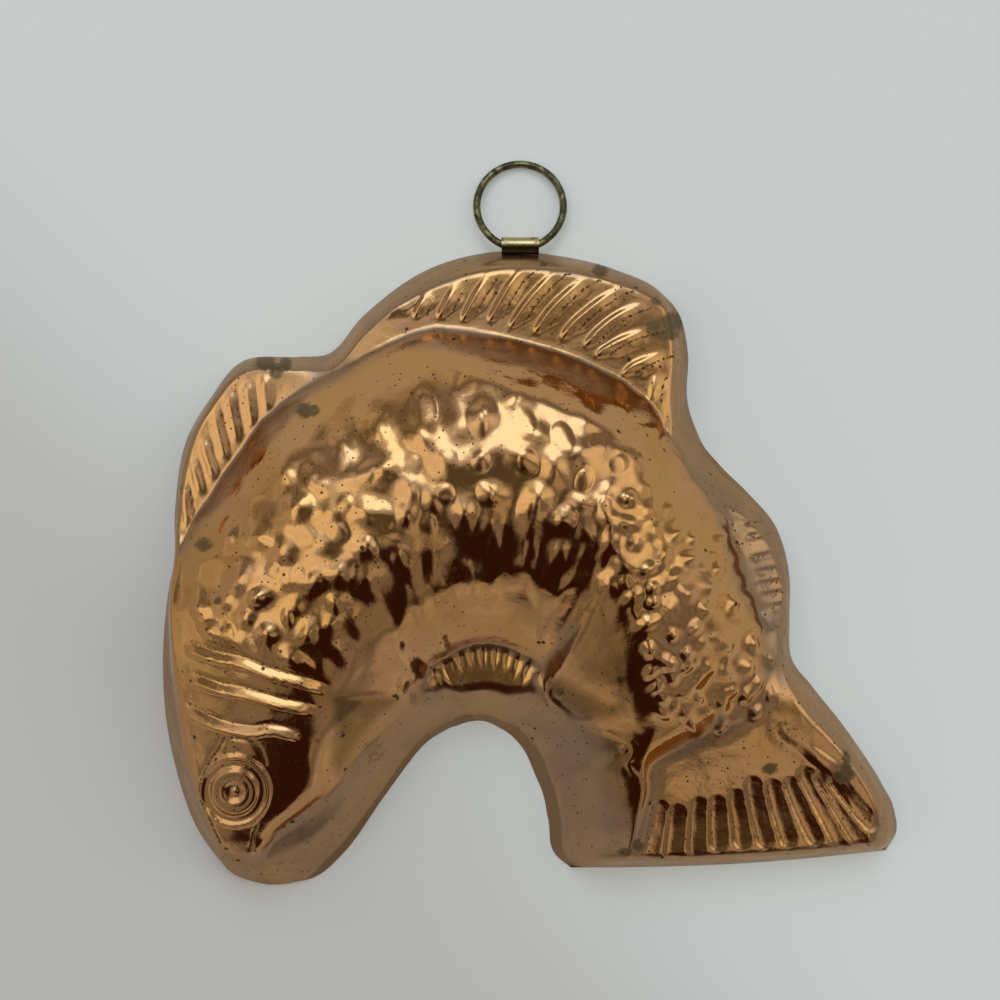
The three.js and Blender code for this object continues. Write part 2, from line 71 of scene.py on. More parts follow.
# Cross sections. Each row is the place along the fish, the share of the way across from the
# belly rim to the back rim, and the height.
BELLY_SHOULDER = [
    (0, 0.42, 11), (5, 0.42, 13), (7, 0.33, 16), (10, 0.21, 18), (13, 0.145, 17.5), (19, 0.137, 17.5),
    (28, 0.139, 21.5), (33, 0.129, 23), (39, 0.115, 24.6), (44, 0.103, 25), (51, 0.088, 25),
    (59, 0.089, 25), (64, 0.105, 25.4), (68.5, 0.145, 26.4), (72, 0.177, 26.8), (77.5, 0.205, 27),
    (82, 0.227, 26), (88, 0.204, 25), (94, 0.173, 23), (100, 0.14, 21),
]
BELLY_FOLD = [
    (0, 0.5, 21), (7, 0.5, 22.5), (10, 0.455, 24.5), (13, 0.326, 26), (16, 0.236, 26.5),
    (22, 0.203, 27.4), (30.5, 0.173, 27.4), (38.5, 0.157, 26), (42, 0.17, 25.2), (45.5, 0.19, 25),
    (51, 0.183, 25), (59, 0.179, 25), (64, 0.173, 25.4), (68, 0.177, 26.6), (70, 0.19, 27),
    (77.5, 0.223, 28), (82, 0.26, 27.4), (88, 0.234, 26), (94, 0.2, 23.5), (100, 0.17, 21.5),
]
CREST = [
    (0, 0.58, 23), (7, 0.575, 26), (10, 0.545, 31), (13, 0.53, 36.5), (16, 0.52, 40.5),
    (19, 0.51, 44.5), (24, 0.5, 48), (30.5, 0.5, 51.5), (36, 0.465, 54), (41.5, 0.465, 56),
    (45.5, 0.505, 56.7), (51, 0.488, 57.1), (59, 0.49, 57.4), (65, 0.49, 57), (68.5, 0.54, 56.2),
    (70, 0.55, 55.7), (74.5, 0.495, 52), (78, 0.46, 47), (80, 0.44, 43), (82, 0.43, 37.5),
    (83.7, 0.39, 33), (85.5, 0.343, 29.5), (88, 0.309, 28), (94, 0.235, 25.3), (100, 0.19, 23),
]
BACK_FOLD = [
    (0, 0.68, 22), (7, 0.733, 24), (10, 0.761, 28.6), (16, 0.822, 32), (22, 0.858, 34),
    (26, 0.887, 35.5), (28, 0.905, 34.5), (30.5, 0.92, 30), (33, 0.906, 22.5), (36, 0.847, 22),
    (39, 0.834, 22), (41.5, 0.839, 23), (44, 0.896, 24), (45.5, 0.915, 24.6), (48, 0.883, 24.6),
    (51, 0.854, 24), (55, 0.809, 24), (59, 0.788, 24), (65, 0.77, 24), (67.5, 0.802, 25),
    (68.5, 0.85, 26), (70, 0.88, 25), (72, 0.884, 24), (74.5, 0.88, 22), (77.5, 0.862, 21),
    (80, 0.87, 20.5), (82, 0.9, 23), (83.7, 0.89, 24), (86, 0.855, 23.5), (88, 0.87, 22.5),
    (91, 0.895, 21.5), (94, 0.905, 20.5), (97, 0.9, 20), (100, 0.88, 19.5),
]
BACK_SHOULDER = [
    (0, 0.74, 20), (7, 0.765, 23), (10, 0.785, 28), (16, 0.836, 31), (22, 0.869, 33),
    (26, 0.9, 34.5), (28, 0.92, 33.4), (30.5, 0.942, 27.5), (33, 0.943, 22), (36, 0.948, 21),
    (39, 0.96, 21), (44, 0.955, 22), (48, 0.944, 23), (55, 0.95, 23), (65, 0.963, 23),
    (66.5, 0.915, 23), (67.5, 0.875, 23.3), (68.5, 0.89, 24.3), (70, 0.914, 23), (72, 0.914, 21.5),
    (74.5, 0.937, 19), (77.5, 0.942, 18), (80, 0.944, 18), (82, 0.93, 19), (83.7, 0.938, 22.3),
    (85.5, 0.928, 23), (91, 0.945, 22), (94, 0.945, 21), (97, 0.925, 20), (100, 0.9, 19),
]
SECTION_LINES = (BELLY_SHOULDER, BELLY_FOLD, CREST, BACK_FOLD, BACK_SHOULDER)
# How full the arch is from the crest to each fold: place, power
BELLY_ARCH_POWER = [(0, 2.5), (10, 3.5), (13, 4.5), (17, 4.5), (22, 3), (30, 2), (60, 2), (69, 1.65),
                    (100, 1.5)]
BACK_ARCH_POWER = 2.5
# Beside a fin the back ends in a steep wall: place, height of the wall, then place, its slope
STEEP_FOOT = [(0, 0), (31, 0), (34, 3.4), (40, 4.4), (43.5, 0), (51, 0), (53, 3), (55, 7.2),
              (57.5, 11.2), (60, 12.6), (62, 11.8), (64, 8.5), (66, 4.5), (68, 0), (100, 0)]
STEEP_SLOPE = [(0, 1.2), (44, 1.2), (51, 1.32), (100, 1.32)]
STEEP_BLEND = 2.0
STEEP_FADE = 2.5
# The back turns from an arch to a flat plate between these places, at the root of the tail
TAIL_PLATE = (83, 86.5)
TAIL_PLATE_POWER = 15
SNOUT_WALL_SLOPE = 25 / 15
TAIL_WALL_SLOPE = 21 / 8.5
# Radius of the outer edge. On the belly side it is tighter round the head.
EDGE_BLEND = 5.0
HEAD_EDGE_TIGHTER = 0.4
HEAD_EDGE_FADE = (12, 20)
BACK_EDGE_BLEND = [(0, 5), (49, 5), (53, 9), (64, 9), (67, 5), (82, 5), (87, 10), (100, 10)]
# Radius of the folds, on the belly side and on the back: place, millimetres
BELLY_FOLD_BLEND = [(0, 3), (36, 3), (42, 1.6), (58, 1.6), (63, 3.2), (100, 3)]
BACK_FOLD_BLEND = [(0, 4), (30, 4), (33, 0.9), (41, 0.9), (45, 3), (53, 3), (57, 0.7), (66, 0.7),
                   (69, 4), (100, 4)]
# How far the mesh lines lean along the fish to follow the ribs of its fins: place, shift
FIN_LEAN = [(0, 0), (33, 0), (35, 1.2), (41, 1.2), (44, 0), (48, 0), (51, 1.6), (56, 2.6),
            (62, 2.8), (68.5, 0), (100, 0)]

# The six spans across the fish, between the rim and the section lines
BELLY_WALL, BELLY_LEDGE, BELLY_FLANK, BACK_FLANK, BACK_LEDGE, BACK_WALL = range(6)
# Where its parts begin and end along the fish
HEAD_END = 34
PECTORAL_FIN = (31, 46)
DORSAL_FIN = (48, 70)
ANAL_FIN_START = 70
TAIL_ROOT_START = 78
TAIL_START = 84

# Sheet and hem
SHEET = 1.0
HEM_WIDTH = 2.0
HEM_HEIGHT = 1.6
HEM_STEP = 0.3
HEM_SHARE = 0.4
LINING_LIFT = 0.05

# Mesh lines along each stretch of the fish, and mesh rows in each span across it. The rows
# move to where each part of the fish needs them, and on the outer walls they crowd towards the
# top. The inside has a line for each INNER_STEP.
STRETCHES = [(0, 6, 12), (6, 17.75, 66), (17.75, 27.9, 48), (27.9, 49, 96), (49, 68.5, 186),
             (68.5, 84.84, 94), (84.84, 97, 56), (97, 100, 12)]
SPAN_ROWS = [
    (0, 8, 16, 44, 66, 8, 8), (20, 8, 16, 44, 66, 8, 8), (30, 8, 7, 34, 70, 23, 8),
    (80, 8, 7, 34, 70, 23, 8), (87, 8, 7, 8, 112, 7, 8), (100, 8, 7, 8, 112, 7, 8),
]
ROWS = 150
INNER_STEP = 3
WALL_CROWDING = 0.6

# The relief fades in between these heights above the table
RELIEF_FADE = (3, 9)

# Where the mould lies in the picture, which looks straight down on it at its middle
PICTURE_SIZE = 1000
PICTURE_MIDDLE = PICTURE_SIZE / 2
PICTURE_SCALE = 0.38
PICTURE_CENTRE = (531.5, 524.0)
CAMERA_REACH = 1300 * PICTURE_SCALE
SENSOR_WIDTH = 36


def read_curve(rows, u, gentle):
    rows = np.array(rows, float)
    place, values = rows[:, 0], rows[:, 1:]
    step = np.diff(place)[:, None]
    rate = np.diff(values, axis=0) / step
    slope = np.zeros_like(values)
    if gentle:
        same = rate[:-1] * rate[1:] > 0
        total = np.where(same, rate[:-1] + rate[1:], 1)
        slope[1:-1] = np.where(same, 2 * rate[:-1] * rate[1:] / total, 0)
    else:
        slope[0], slope[-1] = rate[0], rate[-1]
        slope[1:-1] = (rate[:-1] * step[1:] + rate[1:] * step[:-1]) / (step[1:] + step[:-1])
    i = np.clip(np.searchsorted(place, u) - 1, 0, len(place) - 2)
    span = step[i]
    t = (u - place[i])[:, None] / span
    t2, t3 = t * t, t * t * t
    return ((2 * t3 - 3 * t2 + 1) * values[i] + (t3 - 2 * t2 + t) * span * slope[i]
            + (3 * t2 - 2 * t3) * values[i + 1] + (t3 - t2) * span * slope[i + 1])


def read_level(rows, u):
    return read_curve(rows, u, True)[:, 0]


def ease(start, end, value):
    t = np.clip((value - start) / (end - start), 0, 1)
    return t * t * (3 - 2 * t)


def lower(a, b, blend):
    """The lower of two heights, rounded where they meet."""
    h = np.maximum(blend - np.abs(a - b), 0) / blend
    return np.minimum(a, b) - h * h * blend / 4


def higher(a, b, blend):
    return -lower(-a, -b, blend)


def cornered(a, b):
    return lower(a, b, np.minimum(EDGE_BLEND, a + b + 0.001))


def plan_point(u, v):
    belly = read_curve(BELLY_RIM, u, False)
    back = read_curve(BACK_RIM, u, False)
    bow = SNOUT_BOW * (1 - ease(*SNOUT_BOW_FADE, u)) + TAIL_BOW * ease(*TAIL_BOW_FADE, u)
    x = belly[:, 0] + (back[:, 0] - belly[:, 0]) * v
    y = belly[:, 1] + (back[:, 1] - belly[:, 1]) * v - bow * np.sin(math.pi * v)
    return x, y


def end_distance(end, x, y, v):
    ends = np.array([end, end], float)
    ax, ay = plan_point(ends, np.array([0.0, 1.0]))
    ex, ey = plan_point(np.full_like(v, end), v)
    dx, dy = ax[1] - ax[0], ay[1] - ay[0]
    return np.abs(dx * (y - ey) - dy * (x - ex)) / math.hypot(dx, dy)


def form_height(u, v):
    """Height of the smooth form, before the relief."""
    shoulder, fold, crest, back_fold, back_shoulder = (read_curve(rows, u, True) for rows in SECTION_LINES)
    belly = v < crest[:, 0]
    pick = belly[:, None]
    edge = np.where(pick, shoulder, back_shoulder)
    foot = np.where(pick, fold, back_fold)
    from_rim = np.where(belly, v / edge[:, 0], (1 - v) / (1 - edge[:, 0]))
    wall = edge[:, 1] * from_rim
    width = foot[:, 0] - edge[:, 0]
    width = np.sign(width) * np.maximum(np.abs(width), 0.01)
    along = np.clip((v - edge[:, 0]) / width, 0, 1)
    ledge = edge[:, 1] + (foot[:, 1] - edge[:, 1]) * along
    away = np.abs((v - crest[:, 0]) / (foot[:, 0] - crest[:, 0]))
    plate = np.where(belly, 0, ease(*TAIL_PLATE, u))
    flat = 1 - np.maximum(1 - away, 0) ** TAIL_PLATE_POWER
    power = np.where(belly, read_level(BELLY_ARCH_POWER, u), BACK_ARCH_POWER)
    fall = away ** power * (1 - plate) + flat * plate
    steep = np.where(belly, 0, read_level(STEEP_FOOT, u))
    arch = crest[:, 1] - (crest[:, 1] - foot[:, 1] - steep) * fall
    run = np.hypot(*(read_curve(BACK_RIM, u, False) - read_curve(BELLY_RIM, u, False)).T)
    from_foot = run * np.abs(foot[:, 0] - crest[:, 0]) * (1 - away)
    foot_wall = foot[:, 1] + read_level(STEEP_SLOPE, u) * from_foot
    there = ease(0, STEEP_FADE, steep)
    arch = arch * (1 - there) + lower(arch, foot_wall, STEEP_BLEND) * there
    belly_edge = EDGE_BLEND * (1 - HEAD_EDGE_TIGHTER * (1 - ease(*HEAD_EDGE_FADE, u)))
    edge_blend = np.where(belly, belly_edge, read_level(BACK_EDGE_BLEND, u))
    fold_blend = np.where(belly, read_level(BELLY_FOLD_BLEND, u), read_level(BACK_FOLD_BLEND, u))
    return lower(wall, higher(ledge, arch, fold_blend), edge_blend)


def lay_out(places, row_count, rows):
    """Place, span across and share of that span for each point of a grid of lines and rows."""
    place = np.repeat(places, row_count)
    row = np.tile(rows, len(places))
    table = np.array(SPAN_ROWS, float)
    counts = np.stack([np.interp(place, table[:, 0], table[:, k]) for k in range(1, 7)])
    bounds = np.vstack([np.zeros(len(place)), np.cumsum(counts, axis=0)])
    span = np.clip((bounds[1:-1] <= row + 1e-6).sum(axis=0), BELLY_WALL, BACK_WALL)
    here = np.arange(len(place))
    share = np.clip((row - bounds[span, here]) / (bounds[span + 1, here] - bounds[span, here]), 0, 1)
    share = np.where(span == BELLY_WALL, share ** WALL_CROWDING, share)
    share = np.where(span == BACK_WALL, 1 - (1 - share) ** WALL_CROWDING, share)
    return place, span, share


def smooth_form(place, span, share):
    """Points of the smooth form in drawing millimetres."""
    across = np.where(span < BACK_LEDGE, 0, np.where(span == BACK_LEDGE, share, 1))
    u = place + read_level(FIN_LEAN, place) * across
    edges = [np.zeros_like(u)] + [read_level(rows, u) for rows in SECTION_LINES] + [np.ones_like(u)]
    edges = np.stack(edges)
    here = np.arange(len(u))
    v = edges[span, here] * (1 - share) + edges[span + 1, here] * share
    x, y = plan_point(u, v)
    z = form_height(u, v)
    z = cornered(z, end_distance(0, x, y, v) * SNOUT_WALL_SLOPE)
    z = cornered(z, end_distance(100, x, y, v) * TAIL_WALL_SLOPE)
    return np.stack([x, y, np.maximum(z, 0)], 1)


def grid_normals(points, lines, rows):
    grid = points.reshape(lines, rows, 3)
    normal = np.cross(np.gradient(grid, axis=0), np.gradient(grid, axis=1))
    normal /= np.maximum(np.linalg.norm(normal, axis=2, keepdims=True), 1e-9)
    return (normal * np.sign(normal[:, :, 2:] + 1e-9)).reshape(-1, 3)


def in_picture(points):
    """Where the picture shows points given in drawing millimetres."""
    near = 1 / (1 - points[:, 2] / CAMERA_REACH)
    px = PICTURE_MIDDLE + (points[:, 0] / PICTURE_SCALE + PICTURE_CENTRE[0] - PICTURE_MIDDLE) * near
    py = PICTURE_MIDDLE + (PICTURE_CENTRE[1] - points[:, 1] / PICTURE_SCALE - PICTURE_MIDDLE) * near
    return np.stack([px, py], 1)


# Relief. Its places are where the picture shows them, in pixels of the 1000-pixel square, and
# its heights are millimetres along the surface normal.
DORSAL_RIBS = [
    [(386, 314), (394, 308), (408, 300)],
    [(415, 315), (419, 304), (427, 292)],
    [(439, 315), (446, 301), (456, 281)],
    [(463, 318), (472, 298), (490, 270)],
    [(490, 318), (500, 298), (515, 274), (530, 266)],
    [(511, 324), (526, 300), (553, 272), (564, 269)],
    [(536, 329), (549, 308), (580, 280), (593, 277)],
    [(563, 335), (572, 321), (608, 293), (627, 287)],
    [(586, 343), (599, 327), (623, 310), (650, 303)],
    [(597, 353), (618, 339), (650, 329)],
    [(623, 373), (633, 363), (665, 352)],
    [(650, 401), (652, 380), (658, 371)],
]
DORSAL_RIB_HEIGHTS = [0.5, 1.0, 1.0, 1.1, 1.1, 1.1, 1.1, 1.1, 1.0, 0.9, 0.8, 0.6]
PECTORAL_RIBS = [
    [(264, 412), (262, 394), (261, 376)],
    [(249, 428), (246, 406), (243, 383)],
    [(234, 442), (229, 419), (225, 393)],
    [(222, 459), (216, 436), (211, 413)],
    [(211, 479), (205, 461), (199, 441)],
    [(198, 494), (193, 478), (189, 462)],
    [(185, 526), (182, 506), (181, 488)],
]
ANAL_RIBS = [
    [(742, 523), (766, 520)], [(746, 538), (774, 532)], [(751, 559), (785, 552)],
    [(755, 573), (786, 569)], [(759, 585), (786, 581)], [(764, 596), (786, 592)],
    [(770, 609), (785, 606)],
]
ANAL_GROOVE = [(734, 519), (734, 534), (742, 556), (753, 589), (769, 627)]
LEDGE_RIBS = [
    [(438, 668), (446, 684)], [(452, 655), (458, 668)], [(464, 650), (467, 663)],
    [(476, 648), (477, 661)], [(490, 648), (490, 661)], [(503, 650), (501, 664)],
    [(515, 655), (511, 669)], [(526, 661), (519, 676)], [(536, 669), (527, 685)],
]
TAIL_FLUTES = [
    [(661, 801), (654, 832), (647, 861)], [(678, 806), (675, 834), (672, 861)],
    [(699, 799), (698, 828), (696, 857)], [(717, 797), (718, 824), (719, 852)],
    [(736, 791), (740, 820), (744, 849)], [(752, 778), (758, 812), (767, 848)],
    [(772, 781), (780, 812), (791, 847)], [(790, 779), (803, 812), (819, 845)],
    [(803, 768), (823, 808), (844, 848)], [(819, 771), (842, 810), (864, 848)],
    [(833, 776), (854, 803), (876, 829)],
]
GILL_CRESTS = [
    [(186, 651), (218, 663), (239, 665), (265, 677), (287, 682), (322, 692)],
    [(190, 682), (218, 693), (239, 696), (264, 703), (281, 708), (310, 713)],
    [(184, 712), (214, 729), (254, 737), (269, 733), (281, 735), (297, 740)],
]
EYE = (235, 791)
EYE_HEIGHT = 1.25
# Distance from the middle of the eye, and height there
EYE_RINGS = [(0, 0.55), (2.5, 0.3), (4.5, -0.1), (6.5, 0.05), (9, 0.3), (11.3, 0.85), (12.7, 1.0),
             (14.2, 0.65), (16, 0.75), (19, 0.95), (22, 0.7), (24, 0.0), (28, -0.2), (31, 0.0),
             (32.6, 0.65), (34, 0.85), (35.4, 0.55), (37.5, 0.0), (45, 0.0)]
LEAF_CREASES = [
    [(225, 736), (220, 747), (210, 760), (202, 776), (200, 792)],
    [(228, 737), (248, 739), (260, 749), (266, 766)],
    [(201, 798), (207, 813), (213, 829), (221, 845)],
    [(258, 822), (252, 836), (249, 853)],
]
CHEEK_FOLD = [(249, 853), (282, 831), (314, 807), (329, 792), (341, 775), (352, 758), (372, 738),
              (401, 711)]
TAIL_CREASE = [(774, 719), (777, 739), (799, 752), (814, 766)]
TAIL_ROOT_RIDGE = [(806, 749), (820, 759), (838, 771)]
# Small pockets at the foot of the belly's flank: their raised outlines, and a boss in two of them
POCKET_OUTLINES = [
    [(556, 674), (548, 675), (546, 684), (549, 697), (562, 710), (577, 722), (592, 719)],
    [(603, 732), (616, 735), (627, 740), (634, 749), (632, 757), (627, 764), (632, 772), (638, 779)],
    [(341, 697), (362, 695), (396, 696)],
]
POCKET_BOSSES = [(559, 694, 6), (624, 749, 6)]
SCALE_EDGE = [
    (196, 560), (212, 530), (232, 496), (262, 460), (298, 425), (335, 392), (385, 376), (440, 372),
    (500, 378), (560, 386), (618, 402), (662, 420), (700, 455), (727, 505), (742, 560), (764, 622),
    (776, 668), (774, 706), (752, 722), (716, 735), (676, 731), (655, 716), (647, 690), (642, 655),
    (634, 622), (612, 598), (580, 586), (556, 590), (534, 572), (505, 566), (470, 584), (440, 578),
    (420, 592), (398, 622), (372, 632), (352, 655), (326, 676), (280, 664), (230, 648), (198, 640),
    (190, 600),
]
# Height of the swelling along the field's lower edge, and how far it reaches
SCALE_FOOT = 1.3
SCALE_FOOT_REACH = 26
# Size of a scale at each height of the picture. They are smaller towards the tail.
SCALE_LEVELS = [400, 470, 560, 640]
SCALE_SIZES = [35, 31, 28, 24]
SCALE_TAIL_FADE = (560, 650)
SCALE_TAIL_SMALLER = 7
SCALE_TRIES = 9000
SCALE_MARGIN = 3
# The seed of each kind of scale, its share of the full size and the room round it
SOFT_SCALES = (23, 1, -1.5)
CRISP_SCALES = (7, 0.6, 13)
SOFT_HEIGHT = 1.5
CRISP_HEIGHT = 0.55
SWELL_HEIGHT = 0.4
SCALE_EDGE_FADE = (-16, 8)

# Painted shade: where the copper in the pockets and beside the anal fin is coloured dark, standing for the
# dark it reflects, and how much
PAINTED_SHADE_OUTLINES = [
    (1, [(549, 677), (560, 679), (578, 688), (604, 700), (622, 706), (618, 718), (594, 718),
         (578, 720), (566, 711), (552, 697)]),
    (1, [(600, 736), (616, 738), (629, 748), (628, 757), (622, 764), (620, 776), (604, 768), (595, 754)]),
    (0.8, [(330, 694), (396, 697), (399, 702), (382, 714), (364, 736), (350, 760), (338, 774),
           (330, 760), (336, 730)]),
    (0.45, [(578, 668), (604, 655), (628, 652), (634, 676), (628, 704), (606, 700), (592, 686)]),
    (0.6, [(731, 508), (742, 522), (753, 556), (765, 596), (777, 632), (768, 634), (751, 600),
           (737, 560), (729, 530)]),
]
PAINTED_SHADE_EDGE = (-8, 9)
# Steep walls that polish hardly reaches. The metal is rough and dull there, and its colour is darkened as
# painted shade for the darker reflection of the walls, below one height all round, and below another height
# where it slopes.
DULL_SHADED_WALLS = [
    [(395, 342), (430, 337), (480, 336), (527, 342), (574, 358), (621, 382), (650, 405), (664, 430),
     (655, 424), (612, 400), (560, 378), (500, 360), (440, 350), (400, 350)],
    [(305, 394), (268, 418), (233, 462), (208, 501), (188, 536), (198, 532), (226, 498), (262, 452),
     (300, 412)],
    [(648, 832), (645, 792), (653, 757), (678, 740), (704, 727), (716, 708), (730, 714), (713, 741),
     (682, 754), (666, 768), (657, 800), (655, 836)],
    [(526, 686), (538, 664), (558, 638), (576, 618), (584, 628), (568, 656), (550, 682), (536, 694)],
    [(716, 498), (736, 512), (750, 546), (764, 586), (778, 628), (760, 636), (740, 600), (725, 560),
     (715, 524)],
]
DULL_WALL_SHARE = 0.8
DULL_WALL_EDGE = (-4, 5)
DULL_BELOW = (12, 20.5)
DULL_SLOPES_BELOW = (24, 31)
LEVEL_TO_SLOPING = (0.995, 0.94)
OUTLINE_REACH = 160


def rounded(path, rounds=2):
    path = np.array(path, float)
    for _ in range(rounds):
        a, b = path[:-1], path[1:]
        cut = np.stack([a * 0.75 + b * 0.25, a * 0.25 + b * 0.75], 1).reshape(-1, 2)
        path = np.vstack([path[:1], cut, path[-1:]])
    return path


def beside(spots, path):
    """How far each spot lies to the right of a path, how far along it, and the path's length."""
    far = np.full(len(spots), 1e9)
    off = np.zeros(len(spots))
    along = np.zeros(len(spots))
    start = 0.0
    for k, (a, b) in enumerate(zip(path[:-1], path[1:])):
        step = b - a
        length = math.hypot(*step)
        if length < 1e-6:
            continue
        t = (spots - a) @ step / length ** 2
        t = np.maximum(t, 0) if k else t
        t = np.minimum(t, 1) if k < len(path) - 2 else t
        gap = spots - a - t[:, None] * step
        distance = np.hypot(gap[:, 0], gap[:, 1])
        nearer = distance < far
        side = np.sign(step[0] * gap[:, 1] - step[1] * gap[:, 0])
        far = np.where(nearer, distance, far)
        off = np.where(nearer, side * distance, off)
        along = np.where(nearer, start + t * length, along)
        start += length
    return off, along, start


def stroke(spots, path, reach, profile):
    """What a profile gives beside one path, and nothing farther away than the reach."""
    value = np.zeros(len(spots))
    path = rounded(path)
    close = np.all((spots > path.min(0) - reach) & (spots < path.max(0) + reach), axis=1)
    if close.any():
        value[close] = profile(*beside(spots[close], path))
    return value


def inside(spots, outline):
    """Distance inside a closed outline, negative outside it."""
    corners = np.array(outline, float)
    far = np.full(len(spots), 1e9)
    within = np.zeros(len(spots), bool)
    for a, b in zip(corners, np.roll(corners, -1, axis=0)):
        step = b - a
        t = np.clip((spots - a) @ step / (step @ step), 0, 1)
        gap = spots - a - t[:, None] * step
        far = np.minimum(far, np.hypot(gap[:, 0], gap[:, 1]))
        crosses = (a[1] > spots[:, 1]) != (b[1] > spots[:, 1])
        rise = step[1] if abs(step[1]) > 1e-9 else 1e-9
        within ^= crosses & (spots[:, 0] < a[0] + (spots[:, 1] - a[1]) * step[0] / rise)
    return np.where(within, far, -far)


def between_ends(along, length, soft):
    """1 along a path and 0 past it, with soft ends."""
    return ease(-soft / 2, soft, along) * (1 - ease(length - soft, length + soft / 2, along))


def dorsal_rib(height):
    """A bar to the right of its path, narrow at its foot, with a crisp left edge and a soft right."""
    def profile(off, along, length):
        width = 6 + 9 * ease(0, 22, along)
        top = 1 - 0.55 * ease(1.4, width - 2, off)
        bar = ease(-3.4, 1.4, off) * top * (1 - ease(width - 3, width + 1.5, off))
        ends = ease(-4, 5, along) * (1 - ease(length * 0.45, length + 2, along))
        return 1.2 * height * bar * ends
    return profile


def half_round(height, half_width, soft_end):
    def profile(off, along, length):
        arch = np.maximum(1 - (off / half_width) ** 2, 0) ** 0.8
        return height * arch * between_ends(along, length, soft_end)
    return profile


def sunk_slot(depth, half_width):
    """A shallow channel with round ends, its floor rising towards the side on the path's left."""
    def profile(off, along, length):
        past = np.maximum(np.maximum(half_width - along, along - length + half_width), 0)
        reach = np.hypot(off, past)
        floor = 1 - 0.7 * ease(-half_width * 0.4, half_width, -off)
        return -depth * floor * (1 - ease(half_width - 1.3, half_width + 1.1, reach))
    return profile


def crease(depth, half_width, soft_end=6):
    def profile(off, along, length):
        return -depth * np.exp(-(off / half_width) ** 2) * between_ends(along, length, soft_end)
    return profile


def gill_ridge(height):
    """Rises gently from a crease on the body's side to its crest, then drops to the cheek."""
    def profile(off, along, length):
        up = -off
        flank = np.clip(1 - up / 9.5, 0, 1) ** 1.1 * (up >= 0)
        drop = np.clip(1 + up / 2.4, 0, 1) * (up < 0)
        groove = 0.35 * np.exp(-((up - 9.5) / 1.8) ** 2)
        ends = ease(-4, 10, along) * (1 - ease(length - 14, length + 6, along))
        return height * (flank + drop - groove) * ends
    return profile


def scale_places(seed, shrink, room):
    """Middle, size, turn, length and strength of each scale, placed one by one with room between."""
    chance = np.random.default_rng(seed)
    corners = np.array(SCALE_EDGE, float)
    tries = corners.min(0) + chance.random((SCALE_TRIES, 2)) * (corners.max(0) - corners.min(0))
    tries = tries[inside(tries, SCALE_EDGE) > SCALE_MARGIN]
    kept = np.zeros((0, 3))
    for x, y in tries:
        size = np.interp(y, SCALE_LEVELS, SCALE_SIZES) * (0.82 + 0.36 * chance.random())
        size = (size - SCALE_TAIL_SMALLER * float(ease(*SCALE_TAIL_FADE, np.array(x)))) * shrink
        gaps = np.hypot(kept[:, 0] - x, kept[:, 1] - y) - (kept[:, 2] + size) / 2
        if len(kept) == 0 or np.min(gaps) > room:
            kept = np.vstack([kept, (x, y, size)])
    turn = chance.random(len(kept)) * math.pi
    length = 1 + 0.45 * chance.random(len(kept))
    strength = 0.55 + 0.75 * chance.random(len(kept))
    return np.column_stack([kept, turn, length, strength])


def scales(spots, span, share):
    """Soft swellings, a few crisp leaning ovals among them, and a slow waviness under both."""
    depth = inside(spots, SCALE_EDGE)
    rise = np.zeros(len(spots))
    close = (depth > SCALE_EDGE_FADE[0]) & ((span == BELLY_FLANK) | (span == BACK_FLANK))
    here = spots[close]
    crisp = np.zeros(len(here))
    soft = np.zeros(len(here))
    for x, y, size, turn, length, strength in scale_places(*SOFT_SCALES):
        along = (here[:, 0] - x) * math.cos(turn) + (here[:, 1] - y) * math.sin(turn)
        across = (here[:, 1] - y) * math.cos(turn) - (here[:, 0] - x) * math.sin(turn)
        reach = np.hypot(along / length, across * math.sqrt(length)) / (0.62 * size)
        soft = soft + strength * np.exp(-2.2 * reach ** 2)
    for x, y, size, turn, length, strength in scale_places(*CRISP_SCALES):
        lean_over = 0.35 * math.sin(2 * turn)
        along = (here[:, 1] - y) + lean_over * (here[:, 0] - x)
        across = (here[:, 0] - x) - lean_over * (here[:, 1] - y)
        reach = np.hypot(along / length, across * math.sqrt(length)) / (0.6 * size)
        tilt = np.clip(1 + 0.5 * (0.6 * (here[:, 0] - x) - (here[:, 1] - y)) / size, 0.4, 1.8)
        crisp = np.maximum(crisp, strength * np.maximum(1 - reach ** 2.4, 0) ** 0.85 * tilt)
    swell_x, swell_y = here[:, 0] / 17, here[:, 1] / 18
    swell = np.sin(swell_x + 1.3 * np.sin(swell_y * 0.9)) * np.sin(swell_y - 1.2 * np.sin(swell_x * 0.7))
    total = SOFT_HEIGHT * soft + CRISP_HEIGHT * crisp + SWELL_HEIGHT * swell
    rise[close] = total * ease(*SCALE_EDGE_FADE, depth[close])
    on_belly = span == BELLY_FLANK
    upper = 0.4 + 0.6 * ease(0, 40, depth + 0.9 * np.maximum(spots[:, 1] - 420, 0))
    flank = np.where(on_belly, 0.42 + 0.58 * ease(0.62, 1.0, share), 1)
    lobes = depth + 3.5 * np.sin(spots[:, 0] / 8.5) + 2 * np.sin(spots[:, 0] / 3.7 + 1)
    foot = np.where(on_belly, SCALE_FOOT * np.maximum(1 - np.abs(lobes) / SCALE_FOOT_REACH, 0), 0)
    return rise * upper * flank + foot * (1 - ease(0.45, 0.75, share))


def moved(paths, x_shift, y_shift=0):
    return [[(x + x_shift, y + y_shift) for x, y in path] for path in paths]


def in_stretch(place, stretch):
    return (place > stretch[0]) & (place < stretch[1])


def eye(spots):
    reach = np.hypot(spots[:, 0] - EYE[0], spots[:, 1] - EYE[1])
    return EYE_HEIGHT * np.interp(reach, *np.array(EYE_RINGS).T)


